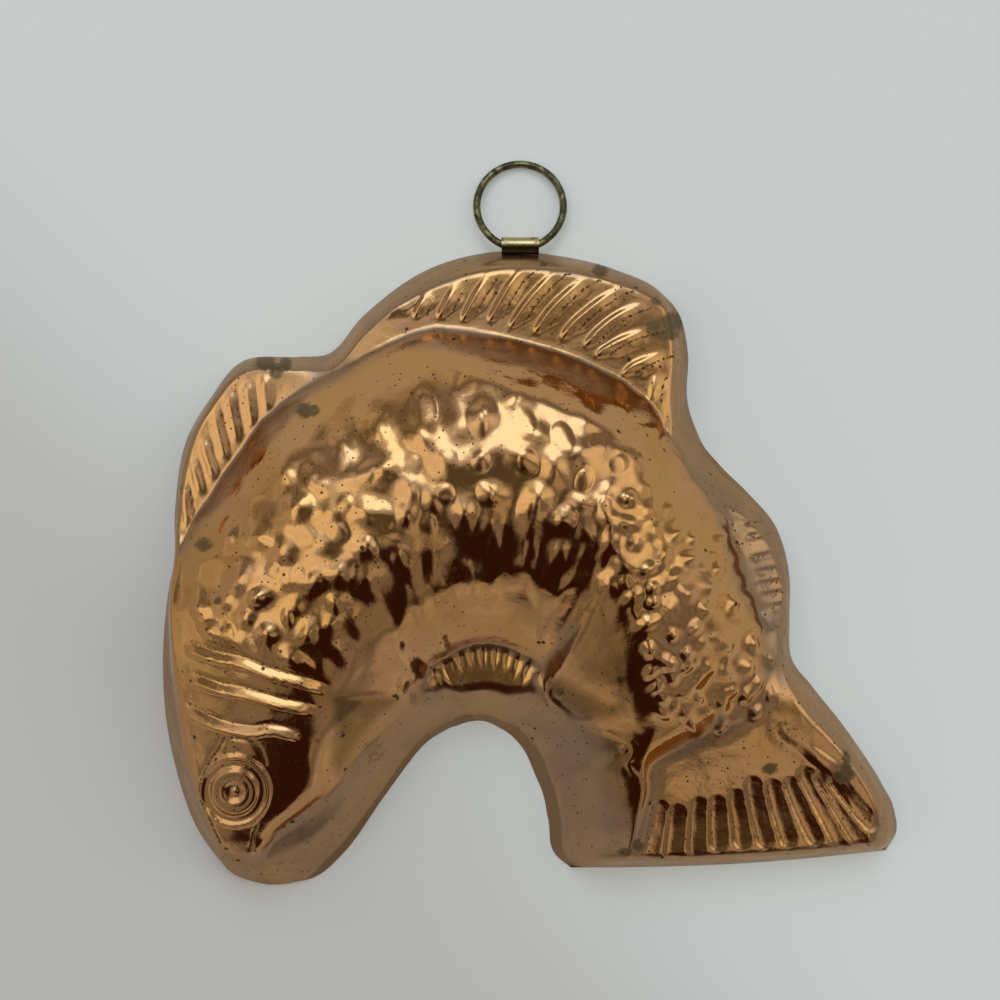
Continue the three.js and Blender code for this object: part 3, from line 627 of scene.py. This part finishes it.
def relief(spots, place, span, share):
    """All that is pressed into the smooth form."""
    rise = scales(spots, span, share)
    beside_fin = ((span == BACK_FLANK) & (share > 0.93)) | ((span == BACK_WALL) & (share < 0.3))
    fin = ((span == BACK_LEDGE) | beside_fin) & in_stretch(place, DORSAL_FIN)
    pectoral = in_stretch(place, PECTORAL_FIN) & (span >= BACK_LEDGE)
    belly, head = span <= BELLY_FLANK, place < HEAD_END
    anal, root, tail = place > ANAL_FIN_START, place > TAIL_ROOT_START, place > TAIL_START
    # Each row: paths, how far from them they reach, the profile beside them and where it is pressed
    pressed = [([path], 24, dorsal_rib(height), fin) for path, height in zip(DORSAL_RIBS, DORSAL_RIB_HEIGHTS)]
    pressed += [
        (moved(PECTORAL_RIBS, 3.5), 14, half_round(0.75, 5, 8), pectoral),
        (ANAL_RIBS, 12, half_round(-0.6, 3.6, 6), anal),
        ([ANAL_GROOVE], 20, crease(2.1, 8, 16), anal),
        (LEDGE_RIBS, 12, half_round(0.45, 5.2, 5), belly),
        (TAIL_FLUTES, 14, sunk_slot(0.55, 8.6), tail),
        (GILL_CRESTS, 18, gill_ridge(1.6), head),
        (LEAF_CREASES, 12, crease(0.32, 2.4), head),
        ([CHEEK_FOLD], 14, crease(-0.5, 3.2, 10), head),
        (POCKET_OUTLINES, 12, half_round(0.45, 3.4, 8), belly),
        ([TAIL_CREASE], 18, crease(0.25, 7, 12), root),
        ([TAIL_ROOT_RIDGE], 12, half_round(0.5, 8, 14), root),
    ]
    for paths, reach, profile, part in pressed:
        for path in paths:
            rise = rise + stroke(spots, path, reach, profile) * part
    rise = rise + eye(spots) * head
    for x, y, wide in POCKET_BOSSES:
        reach = np.hypot(spots[:, 0] - x, spots[:, 1] - y) / wide
        rise = rise + 0.5 * np.maximum(1 - reach * reach, 0) ** 1.5 * belly
    return rise


# Where patches have tarnished, and where the metal is darker in small blots: X, Y, width and height of each
PATCHES = [
    (600, 271, 8, 7), (655, 301, 5, 5), (672, 322, 13, 10), (654, 325, 9, 7), (665, 335, 14, 6),
    (544, 264, 4, 3), (265, 363, 10, 8), (276, 371, 8, 8), (286, 364, 6, 7), (306, 411, 9, 8),
    (315, 410, 5, 6), (204, 545, 9, 7), (770, 769, 8, 6), (846, 772, 7, 13), (839, 776, 5, 7),
    (846, 758, 4, 8), (219, 601, 5, 4), (624, 852, 8, 4), (638, 846, 5, 7),
]
DARK_BLOTS = [
    (372, 750, 12, 14), (232, 690, 7, 6), (232, 704, 6, 5), (700, 742, 20, 8), (788, 728, 15, 10),
    (735, 733, 14, 6),
]


def blots(spots, rows):
    value = np.zeros(len(spots))
    for x, y, wide, high in rows:
        reach = np.hypot((spots[:, 0] - x) / wide, (spots[:, 1] - y) / high)
        value = np.maximum(value, 1 - ease(0.55, 1.45, reach))
    return value


def covered(spots, outline, edge):
    """1 inside an outline and 0 outside it, with a soft edge."""
    value = np.zeros(len(spots))
    near = (np.abs(spots - np.mean(outline, axis=0)) < OUTLINE_REACH).all(axis=1)
    value[near] = ease(*edge, inside(spots[near], outline))
    return value


def painted_shade(spots):
    """Painted shade: how dark the copper is coloured in the pockets, for the dark that they reflect."""
    value = np.zeros(len(spots))
    for strength, outline in PAINTED_SHADE_OUTLINES:
        value = np.maximum(value, strength * covered(spots, outline, PAINTED_SHADE_EDGE))
    return value


def dull_and_painted_shade(spots, points, normal):
    """How dull the metal is, with painted shade that darkens its colour: on the outer walls and on the steep
    walls beside the fins.
    """
    height = points[:, 2]
    slopes = ease(*LEVEL_TO_SLOPING, normal[:, 2]) * (1 - ease(*DULL_SLOPES_BELOW, height))
    value = np.maximum(1 - ease(*DULL_BELOW, height), slopes)
    for outline in DULL_SHADED_WALLS:
        value = np.maximum(value, DULL_WALL_SHARE * covered(spots, outline, DULL_WALL_EDGE))
    return value


def tarnish_and_blots(spots):
    return np.maximum(blots(spots, PATCHES), 0.35 * blots(spots, DARK_BLOTS))


def line_mark(strength, half_width):
    def profile(off, along, length):
        ends = ease(-2, 3, along) * (1 - ease(length - 3, length + 2, along))
        return strength * np.exp(-(off / half_width) ** 2) * ends
    return profile


def crevices(spots, place, span):
    """How much dirt stays at each point of the outer face."""
    fin, head = in_stretch(place, DORSAL_FIN) & (span >= BACK_FLANK), place < HEAD_END
    tail, anal = place > TAIL_START, place > ANAL_FIN_START
    ring = np.hypot(spots[:, 0] - EYE[0], spots[:, 1] - EYE[1])
    value = 0.4 * np.exp(-((ring - 36) / 1.6) ** 2) * head
    # Each row: paths, the reach, strength and half width of the dirt along them, and the part
    for paths, reach, strength, half_width, part in (
            (moved(DORSAL_RIBS, 11, 3), 10, 0.6, 1.8, fin), (moved(DORSAL_RIBS, -2.5, -1), 8, 0.3, 1.4, fin),
            (moved(TAIL_FLUTES, -6.5), 8, 0.45, 1.5, tail), (moved(TAIL_FLUTES, 6.5), 8, 0.45, 1.5, tail),
            (ANAL_RIBS, 8, 0.5, 1.5, anal), (moved(GILL_CRESTS, 2, -10), 10, 0.55, 1.8, head),
            (LEAF_CREASES, 8, 0.7, 1.8, head)):
        for path in paths:
            value = np.maximum(value, stroke(spots, path, reach, line_mark(strength, half_width)) * part)
    return value


def alone(thing):
    bpy.ops.object.select_all(action="DESELECT")
    thing.select_set(True)
    bpy.context.view_layer.objects.active = thing


def at_open_edges(thing, work):
    """Selects the open edges of a mesh and does one job on them."""
    alone(thing)
    bpy.ops.object.mode_set(mode="EDIT")
    bpy.ops.mesh.select_mode(type="EDGE")
    bpy.ops.mesh.select_all(action="DESELECT")
    bpy.ops.mesh.select_non_manifold()
    work()
    bpy.ops.object.mode_set(mode="OBJECT")


def sheet_grid(name, lines, rows, points):
    """A grid with each vertex moved to its own point of the sheet, in drawing millimetres."""
    bpy.ops.object.select_all(action="DESELECT")
    bpy.ops.mesh.primitive_grid_add(x_subdivisions=lines - 1, y_subdivisions=rows - 1, size=2)
    grid = bpy.context.active_object
    grid.name = name
    start = np.zeros(len(grid.data.vertices) * 3)
    grid.data.vertices.foreach_get("co", start)
    start = start.reshape(-1, 3)
    line = np.rint((start[:, 0] + 1) / 2 * (lines - 1)).astype(int)
    row = np.rint((start[:, 1] + 1) / 2 * (rows - 1)).astype(int)
    order = line * rows + row
    placed = (points[order] + DRAWING_SHIFT) * MM
    grid.data.vertices.foreach_set("co", placed.ravel())
    grid.data.update()
    return grid, order


def rim_order(lines, rows):
    """Grid places round the rim: belly, tail, back and snout, each with the place inside it."""
    def place(line, row):
        return line * rows + row

    last, top = lines - 1, rows - 1
    loop = [(place(k, 0), place(min(max(k, 1), last - 1), 1)) for k in range(last)]
    loop += [(place(last, k), place(last - 1, min(max(k, 1), top - 1))) for k in range(top)]
    loop += [(place(k, top), place(min(max(k, 1), last - 1), top - 1)) for k in range(last, 0, -1)]
    loop += [(place(0, k), place(1, min(max(k, 1), top - 1))) for k in range(top, 0, -1)]
    return np.array(loop)


def hem_points(points, loop):
    """Foot of the hem on the table and its top edge against the inner face, for each rim point."""
    rim, inner = points[loop[:, 0]], points[loop[:, 1]]
    chord = np.roll(rim, -1, axis=0) - np.roll(rim, 1, axis=0)
    inward = np.stack([-chord[:, 1], chord[:, 0], np.zeros(len(rim))], 1)
    inward /= np.linalg.norm(inward, axis=1, keepdims=True)
    foot = rim + inward * HEM_WIDTH
    foot[:, 2] = 0
    reach = HEM_WIDTH - HEM_STEP
    cover = inner[:, 2] * reach / np.maximum(((inner - rim) * inward).sum(axis=1), 0.1)
    top = rim + inward * reach
    top[:, 2] = np.minimum(HEM_HEIGHT, HEM_SHARE * cover)
    return foot, top


def build_fish():
    """The pressed sheet: the outer face with its relief, the hem turned in under it, the inner face."""
    places = np.concatenate([np.linspace(a, b, n, endpoint=False) for a, b, n in STRETCHES] + [[100.0]])
    rows = np.arange(ROWS + 1, dtype=float)
    lines, row_count = len(places), ROWS + 1
    place, span, share = lay_out(places, row_count, rows)
    points = smooth_form(place, span, share)
    spots = in_picture(points)
    normal = grid_normals(points, lines, row_count)
    rise = relief(spots, place, span, share) * ease(*RELIEF_FADE, points[:, 2])
    points = points + normal * rise[:, None]
    points[:, 2] = np.maximum(points[:, 2], 0)

    fish, order = sheet_grid("fish_shell", lines, row_count, points)
    for name, values in (("crevice", crevices(spots, place, span)), ("tarnish_and_blots", tarnish_and_blots(spots)),
                         ("painted_shade", painted_shade(spots)), ("dull_and_painted_shade", dull_and_painted_shade(spots, points, normal))):
        layer = fish.data.attributes.new(name, "FLOAT", "POINT")
        layer.data.foreach_set("value", values[order].astype(np.float32))

    loop = rim_order(lines, row_count)
    foot, top = hem_points(points, loop)
    finder = KDTree(len(loop))
    for k, spot in enumerate((points[loop[:, 0]] + DRAWING_SHIFT) * MM):
        finder.insert(spot, k)
    finder.balance()
    outer_count = len(fish.data.vertices)
    at_open_edges(fish, bpy.ops.mesh.extrude_edges_move)
    feet = (foot + DRAWING_SHIFT) * MM
    for vertex in list(fish.data.vertices)[outer_count:]:
        vertex.co = feet[finder.find(vertex.co)[1]]

    coarse_line = np.arange(0, lines, INNER_STEP)
    coarse_row = np.arange(0, row_count, INNER_STEP)
    pick = (coarse_line[:, None] * row_count + coarse_row[None, :]).ravel()
    skin = grid_normals(points, lines, row_count)
    inner = points[pick] - skin[pick] * SHEET
    where = {place: k for k, place in enumerate(pick)}
    for k, rim_place in enumerate(loop[:, 0]):
        if rim_place in where:
            inner[where[rim_place]] = top[k]
    inner[:, 2] = np.maximum(inner[:, 2], LINING_LIFT)
    lining, _ = sheet_grid("tin_face", len(coarse_line), len(coarse_row), inner)
    alone(lining)
    bpy.ops.object.mode_set(mode="EDIT")
    bpy.ops.mesh.select_all(action="SELECT")
    bpy.ops.mesh.flip_normals()
    bpy.ops.object.mode_set(mode="OBJECT")
    for finish in (copper_finish(), tin_finish()):
        fish.data.materials.append(finish)
        lining.data.materials.append(finish)
    for face in lining.data.polygons:
        face.material_index = 1
    alone(fish)
    lining.select_set(True)
    bpy.ops.object.join()
    at_open_edges(fish, bpy.ops.mesh.bridge_edge_loops)
    for face in fish.data.polygons:
        face.use_smooth = True
    return fish


def new_group(name, outputs, **numbers):
    """A node group that takes a vector and some numbers, and gives out numbers."""
    group = bpy.data.node_groups.new(name, "ShaderNodeTree")
    group.interface.new_socket("Vector", in_out="INPUT", socket_type="NodeSocketVector")
    for label, value in numbers.items():
        socket = group.interface.new_socket(label, in_out="INPUT", socket_type="NodeSocketFloat")
        socket.default_value = value
    for label in outputs:
        group.interface.new_socket(label, in_out="OUTPUT", socket_type="NodeSocketFloat")
    return group, group.nodes.new("NodeGroupInput").outputs, group.nodes.new("NodeGroupOutput").inputs


def wire(tree, target, value):
    """Puts a number or colour on a socket, or links another socket to it."""
    if isinstance(value, bpy.types.NodeSocket):
        tree.links.new(value, target)
    elif value is not None:
        target.default_value = value


def calc(tree, kind, first, second=None, clamp=False):
    node = tree.nodes.new("ShaderNodeMath")
    node.operation = kind
    node.use_clamp = clamp
    wire(tree, node.inputs[0], first)
    wire(tree, node.inputs[1], second)
    return node.outputs[0]


def times(tree, first, second, clamp=False):
    return calc(tree, "MULTIPLY", first, second, clamp)


def plus(tree, first, second):
    return calc(tree, "ADD", first, second)


def ramp(tree, value, start, end, low=0.0, high=1.0, smooth=True):
    node = tree.nodes.new("ShaderNodeMapRange")
    node.interpolation_type = "SMOOTHSTEP" if smooth else "LINEAR"
    wire(tree, node.inputs["Value"], value)
    for label, number in (("From Min", start), ("From Max", end), ("To Min", low), ("To Max", high)):
        wire(tree, node.inputs[label], number)
    return node.outputs["Result"]


def noise(tree, where, scale, detail=3.0, roughness=0.5, distortion=0.0):
    node = tree.nodes.new("ShaderNodeTexNoise")
    for label, value in (("Vector", where), ("Scale", scale), ("Detail", detail), ("Roughness", roughness),
                         ("Distortion", distortion)):
        wire(tree, node.inputs[label], value)
    return node.outputs["Fac"]


def blend(tree, share, first, second):
    node = tree.nodes.new("ShaderNodeMix")
    node.data_type = "RGBA"
    for place, value in ((0, share), (6, first), (7, second)):
        wire(tree, node.inputs[place], value)
    return node.outputs[2]


def build_specks():
    """Small round dark specks, in a share of the cells that a scale sets, crowded where it is old."""
    group, given, out = new_group("specks", ["Mask"], Scale=300.0, Share=0.2, Size=0.2)
    cells = group.nodes.new("ShaderNodeTexVoronoi")
    wire(group, cells.inputs["Vector"], given["Vector"])
    wire(group, cells.inputs["Scale"], given["Scale"])
    chance = group.nodes.new("ShaderNodeSeparateColor")
    wire(group, chance.inputs[0], cells.outputs["Color"])
    crowd = noise(group, given["Vector"], 28.0, 2.0)
    limit = times(group, given["Share"], ramp(group, crowd, 0.38, 0.66, 0.25, 2.2))
    chosen = calc(group, "LESS_THAN", chance.outputs[0], limit)
    radius = times(group, given["Size"], ramp(group, chance.outputs[1], 0.0, 1.0, 0.35, 1.3, False))
    spot = ramp(group, calc(group, "SUBTRACT", radius, cells.outputs["Distance"]), -0.02, 0.05)
    wire(group, out["Mask"], times(group, spot, chosen, True))
    return group


def build_grime():
    """Breaks an amount of dirt up into grains and smears."""
    group, given, out = new_group("grime", ["Mask"], Amount=0.0, Scale=500.0, Hardness=0.12)
    grain = noise(group, given["Vector"], given["Scale"], 4.0, 0.65)
    limit = calc(group, "SUBTRACT", 1.0, given["Amount"])
    grain = plus(group, times(group, calc(group, "SUBTRACT", grain, 0.5), 1.9), 0.5)
    over = calc(group, "SUBTRACT", grain, limit)
    soft = plus(group, given["Hardness"], 0.001)
    mask = calc(group, "DIVIDE", plus(group, over, soft), times(group, soft, 2.0), True)
    some = ramp(group, given["Amount"], 0.02, 0.1)
    wire(group, out["Mask"], times(group, mask, some, True))
    return group


def build_polish():
    """Rubbed metal: gentle waves, fine haze and faint rubbing marks."""
    group, given, out = new_group("polish", ["Roughness", "Height", "Tone"], Waves=90.0, Low=0.05, High=0.16)
    where = given["Vector"]
    tone = noise(group, where, 34.0, 4.0, 0.6, 0.4)
    haze = noise(group, where, 150.0, 5.0, 0.65)
    cloud = times(group, plus(group, tone, haze), 0.5)
    waves = noise(group, where, given["Waves"], 2.0, 0.45)
    peel = times(group, noise(group, where, 620.0, 2.0), 0.10)
    wire(group, out["Roughness"], ramp(group, cloud, 0.38, 0.64, given["Low"], given["High"]))
    wire(group, out["Height"], plus(group, waves, peel))
    wire(group, out["Tone"], tone)
    return group


SPECKS = build_specks()
GRIME = build_grime()
POLISH = build_polish()

# Colours of the finishes
COPPER_GOLD = (0.60, 0.31, 0.11, 1)
COPPER_PINK = (0.60, 0.315, 0.14, 1)
COPPER_EDGE = (0.84, 0.7, 0.57, 1)
# Painted shade: the dark colour of the pockets, standing for the dark they reflect
COPPER_PAINTED_SHADE = (0.085, 0.05, 0.015, 1)
# Dull walls: a darker colour that is painted shade for their darker reflection
COPPER_DULL_SHADED = (0.36, 0.235, 0.15, 1)
TARNISH_BROWN = (0.12, 0.085, 0.04, 1)
SPECK_BROWN = (0.03, 0.014, 0.005, 1)
TIN_LIGHT = (0.62, 0.61, 0.58, 1)
TIN_GREY = (0.45, 0.44, 0.41, 1)
TIN_STAIN = (0.14, 0.13, 0.11, 1)
STRAP_BRIGHT = (0.62, 0.46, 0.22, 1)
STRAP_DULL = (0.2, 0.15, 0.06, 1)
RING_BRIGHT = (0.2, 0.17, 0.075, 1)
RING_DULL = (0.06, 0.054, 0.024, 1)
BRASS_SHADOW = (0.03, 0.018, 0.008, 1)
TABLE_PAPER = (0.82, 0.78, 0.745, 1)
# Painted light on the table, near and far
TABLE_PAINTED_LIGHT_NEAR = (0.004, 0.002, 0.002, 1)
TABLE_PAINTED_LIGHT_FAR = (0.12, 0.15, 0.15, 1)
# Between these values the slow noise of the polish turns from one tone of metal to the other
TONES = (0.35, 0.65)


def placed(tree, group, where, **values):
    node = tree.nodes.new("ShaderNodeGroup")
    node.node_tree = group
    wire(tree, node.inputs["Vector"], where)
    for label, value in values.items():
        wire(tree, node.inputs[label], value)
    return node.outputs


def start_material(name):
    material = bpy.data.materials.new(name)
    material.use_nodes = True
    tree = material.node_tree
    where = tree.nodes.new("ShaderNodeTexCoord").outputs["Object"]
    return material, tree, tree.nodes["Principled BSDF"].inputs, where


def split_axes(tree, where):
    node = tree.nodes.new("ShaderNodeSeparateXYZ")
    wire(tree, node.inputs[0], where)
    return node.outputs


def set_metal(tree, shader, colour, metallic, rough, height, distance):
    """Joins up a metal's shader, with a bump of the given height over a distance in metres."""
    bump = tree.nodes.new("ShaderNodeBump")
    for label, value in (("Strength", 1.0), ("Distance", distance), ("Height", height)):
        wire(tree, bump.inputs[label], value)
    for label, value in (("Base Color", colour), ("Metallic", metallic), ("Roughness", rough),
                         ("Normal", bump.outputs["Normal"])):
        wire(tree, shader[label], value)


def attribute(tree, name):
    node = tree.nodes.new("ShaderNodeAttribute")
    node.attribute_name = name
    return node.outputs["Fac"]


def copper_finish():
    copper, tree, shader, where = start_material("polished_copper")
    shine = placed(tree, POLISH, where, Waves=80.0, Low=0.055, High=0.15)
    colour = blend(tree, ramp(tree, shine["Tone"], *TONES), COPPER_GOLD, COPPER_PINK)
    patch = placed(tree, GRIME, where, Amount=times(tree, attribute(tree, "tarnish_and_blots"), 0.95), Scale=480.0,
                   Hardness=0.3)[0]
    dirt = placed(tree, GRIME, where, Amount=attribute(tree, "crevice"), Scale=900.0, Hardness=0.1)[0]
    small = placed(tree, SPECKS, where, Scale=430.0, Share=0.9, Size=0.15)[0]
    large = placed(tree, SPECKS, where, Scale=150.0, Share=0.5, Size=0.12)[0]
    spots = calc(tree, "MAXIMUM", calc(tree, "MAXIMUM", small, large), dirt)
    # Painted shade: the pockets are coloured dark for the dark they reflect
    painted_shade_share = times(tree, attribute(tree, "painted_shade"), ramp(tree, shine["Tone"], *TONES, 0.55, 0.85))
    # Dull walls: rougher metal, and a darker colour that is painted shade
    dull = times(tree, attribute(tree, "dull_and_painted_shade"), ramp(tree, shine["Tone"], 0.3, 0.7, 0.55, 0.9))
    for share, over in ((painted_shade_share, COPPER_PAINTED_SHADE), (dull, COPPER_DULL_SHADED),
                        (times(tree, patch, 0.85), TARNISH_BROWN), (times(tree, spots, 0.9), SPECK_BROWN)):
        colour = blend(tree, share, colour, over)
    worn = calc(tree, "MAXIMUM", patch, spots)
    metallic = ramp(tree, worn, 0.0, 1.0, 1.0, 0.8, False)
    rough = plus(tree, plus(tree, shine["Roughness"], times(tree, worn, 0.3)), times(tree, dull, 0.3))
    set_metal(tree, shader, colour, metallic, rough, shine["Height"], 0.00045)
    wire(tree, shader["Specular Tint"], COPPER_EDGE)
    return copper


def tin_finish():
    tin, tree, shader, where = start_material("wiped_tin")
    shine = placed(tree, POLISH, where, Waves=60.0, Low=0.26, High=0.48)
    base = blend(tree, ramp(tree, shine["Tone"], *TONES), TIN_LIGHT, TIN_GREY)
    stain = placed(tree, SPECKS, where, Scale=140.0, Share=0.25, Size=0.25)[0]
    colour = blend(tree, times(tree, stain, 0.6), base, TIN_STAIN)
    set_metal(tree, shader, colour, 1.0, shine["Roughness"], shine["Height"], 0.0008)
    return tin


def brass_finish(name, bright, dull, share, painted_shadow_y=None):
    """Brass that has gone dull in a share of its face, with a painted shadow nearer the wall than a given Y.
    """
    brass, tree, shader, where = start_material(name)
    shine = placed(tree, POLISH, where, Waves=260.0, Low=0.2, High=0.38)
    smear = noise(tree, where, 240.0, 4.0, 0.6, 0.6)
    aged = ramp(tree, smear, 0.62 - share * 0.4, 0.78 - share * 0.4)
    colour = blend(tree, aged, bright, dull)
    if painted_shadow_y is not None:
        # Painted shadow: the brass is coloured dark nearer the wall, for the shade of the gap
        near = ramp(tree, split_axes(tree, where)["Y"], painted_shadow_y, painted_shadow_y + 0.0014, 0.93, 0.0)
        colour = blend(tree, near, colour, BRASS_SHADOW)
    metallic = ramp(tree, aged, 0.0, 1.0, 1.0, 0.75, False)
    rough = plus(tree, shine["Roughness"], times(tree, aged, 0.16))
    set_metal(tree, shader, colour, metallic, rough, shine["Height"], 0.0001)
    return brass


# The drawing's hinge line: along the rim, out from it and up. The drawing moves so that this line
# meets the joint's.
HANGER_PLACE = 57.0
HINGE_OUT = 1.1
HINGE_HEIGHT = 5.0
HANGER_X = -4.4
RIM_TOP = read_curve(BACK_RIM, np.array([HANGER_PLACE]), False)[0, 1]
HINGE = (HANGER_X, RIM_TOP + HINGE_OUT, HINGE_HEIGHT)
joint_at = frame["record"]["behaviour"]["joints"][0]["pos_m"]
DRAWING_SHIFT = np.array([joint_at[k] / MM - HINGE[k] for k in range(3)])
STRAP_SHADOW_Y = joint_at[1] - 0.8 * MM

fish = build_fish()
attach(fish, "mould")
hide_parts("mould_shell")

for name, finish in (
        ("ring_strap", brass_finish("strap_brass", STRAP_BRIGHT, STRAP_DULL, 0.35, STRAP_SHADOW_Y)),
        ("hanging_ring", brass_finish("ring_brass", RING_BRIGHT, RING_DULL, 0.55))):
    node = frame["nodes"][name]
    node.data.materials.clear()
    node.data.materials.append(finish)

# Table, a little brighter towards the far right corner: painted light, an emission seen by the camera and in
# reflections
TABLE_SIZE = 6
TABLE_DROP = 0.2 * MM
TABLE_SHADE = (-0.22, -0.02)
bpy.ops.object.select_all(action="DESELECT")
bpy.ops.mesh.primitive_plane_add(size=TABLE_SIZE, location=(0, 0, -TABLE_DROP))
table = bpy.context.active_object
table.name = "table"
paper, tree, shader, where = start_material("pale_table")
axes = split_axes(tree, where)
far = ramp(tree, plus(tree, axes["Y"], axes["X"]), *TABLE_SHADE)
seen = tree.nodes.new("ShaderNodeLightPath").outputs
mirrored = calc(tree, "MAXIMUM", seen["Is Glossy Ray"], seen["Is Transmission Ray"])
wire(tree, shader["Base Color"], TABLE_PAPER)
wire(tree, shader["Roughness"], 0.75)
wire(tree, shader["Specular IOR Level"], 0.1)
wire(tree, shader["Emission Color"], blend(tree, far, TABLE_PAINTED_LIGHT_NEAR, TABLE_PAINTED_LIGHT_FAR))
wire(tree, shader["Emission Strength"], calc(tree, "MAXIMUM", seen["Is Camera Ray"], mirrored))
table.data.materials.append(paper)

# Room: one pale level, bright windows, and the dark of who leans over the table
world = bpy.data.worlds.new("soft_room")
bpy.context.scene.world = world
world.use_nodes = True
room = world.node_tree
sky = room.nodes.new("ShaderNodeTexCoord").outputs["Generated"]
axes = split_axes(room, sky)

# Each row: azimuth and zenith angle of a patch of light, its radius and softness, and its colour
ROOM_LEVEL = (0.276, 0.271, 0.26)
ROOM_LIGHTS = [
    (92, 40, 7, 13, (1.2, 1.65, 2.0)), (94, 38, 9, 24, (0.42, 0.5, 0.62)),
    (135, 40, 5, 16, (0.25, 0.28, 0.3)), (20, 42, 10, 18, (0.75, 0.78, 0.72)),
    (12, 64, 8, 16, (0.32, 0.33, 0.3)), (174, 36, 9, 16, (0.85, 0.88, 0.78)),
    (-60, 21, 5, 10, (0.26, 0.25, 0.22)), (182, 66, 10, 16, (0.3, 0.3, 0.25)),
]
DARK_LIGHT = (0.04, 0.014, 0.009, 1)
MIDDLE_LIGHT = (0.13, 0.125, 0.1, 1)
DARK_MIDDLE = (4.5, 7)
DARK_SIDE_SHIFT = 0.05
DARK_SIDE_SPREAD = math.tan(math.radians(24))


def combine(kind, first, second):
    node = room.nodes.new("ShaderNodeVectorMath")
    node.operation = kind
    wire(room, node.inputs[0], first)
    wire(room, node.inputs["Scale"] if kind == "SCALE" else node.inputs[1], second)
    return node.outputs["Value"] if kind == "DOT_PRODUCT" else node.outputs[0]


def cosine(degrees):
    return math.cos(math.radians(degrees))


def patch_mask(azimuth, zenith, radius, soft):
    turn, lean = math.radians(azimuth), math.radians(zenith)
    axis = (math.sin(lean) * math.cos(turn), math.sin(lean) * math.sin(turn), math.cos(lean))
    return ramp(room, combine("DOT_PRODUCT", sky, axis), cosine(radius + soft), cosine(radius))


uneven = ramp(room, noise(room, sky, 3.2, 3.0, 0.55, 0.6), 0.32, 0.68, 0.72, 1.22)
uneven = times(room, uneven, ramp(room, axes["Z"], 0.34, 0.02, 1.0, 1.75))
light = combine("SCALE", ROOM_LEVEL, uneven)
for azimuth, zenith, radius, soft, colour in ROOM_LIGHTS:
    light = combine("ADD", light, combine("SCALE", colour, patch_mask(azimuth, zenith, radius, soft)))
light = blend(room, patch_mask(0, 0, *DARK_MIDDLE), light, MIDDLE_LIGHT)
aside = calc(room, "ABSOLUTE", plus(room, axes["X"], DARK_SIDE_SHIFT))
spread = calc(room, "SUBTRACT", times(room, axes["Y"], -DARK_SIDE_SPREAD), aside)
side = times(room, ramp(room, spread, -0.12, 0.1), ramp(room, axes["Z"], 0.22, 0.36))
dark = blend(room, ramp(room, axes["Z"], 0.88, 0.985), DARK_LIGHT, MIDDLE_LIGHT)
wire(room, room.nodes["Background"].inputs["Color"], blend(room, side, light, dark))

# Camera, straight down, at the picture's distance
camera_data = bpy.data.cameras.new("camera")
camera = bpy.data.objects.new("camera", camera_data)
bpy.context.scene.collection.objects.link(camera)
axis_x = (PICTURE_MIDDLE - PICTURE_CENTRE[0]) * PICTURE_SCALE + DRAWING_SHIFT[0]
axis_y = (PICTURE_CENTRE[1] - PICTURE_MIDDLE) * PICTURE_SCALE + DRAWING_SHIFT[1]
camera.location = (axis_x * MM, axis_y * MM, CAMERA_REACH * MM)
camera_data.sensor_width = SENSOR_WIDTH
camera_data.lens = SENSOR_WIDTH * CAMERA_REACH / (PICTURE_SIZE * PICTURE_SCALE)
camera_data.clip_start = 0.01
bpy.context.scene.camera = camera
bpy.context.scene.view_settings.view_transform = "Standard"

bpy.context.view_layer.update()
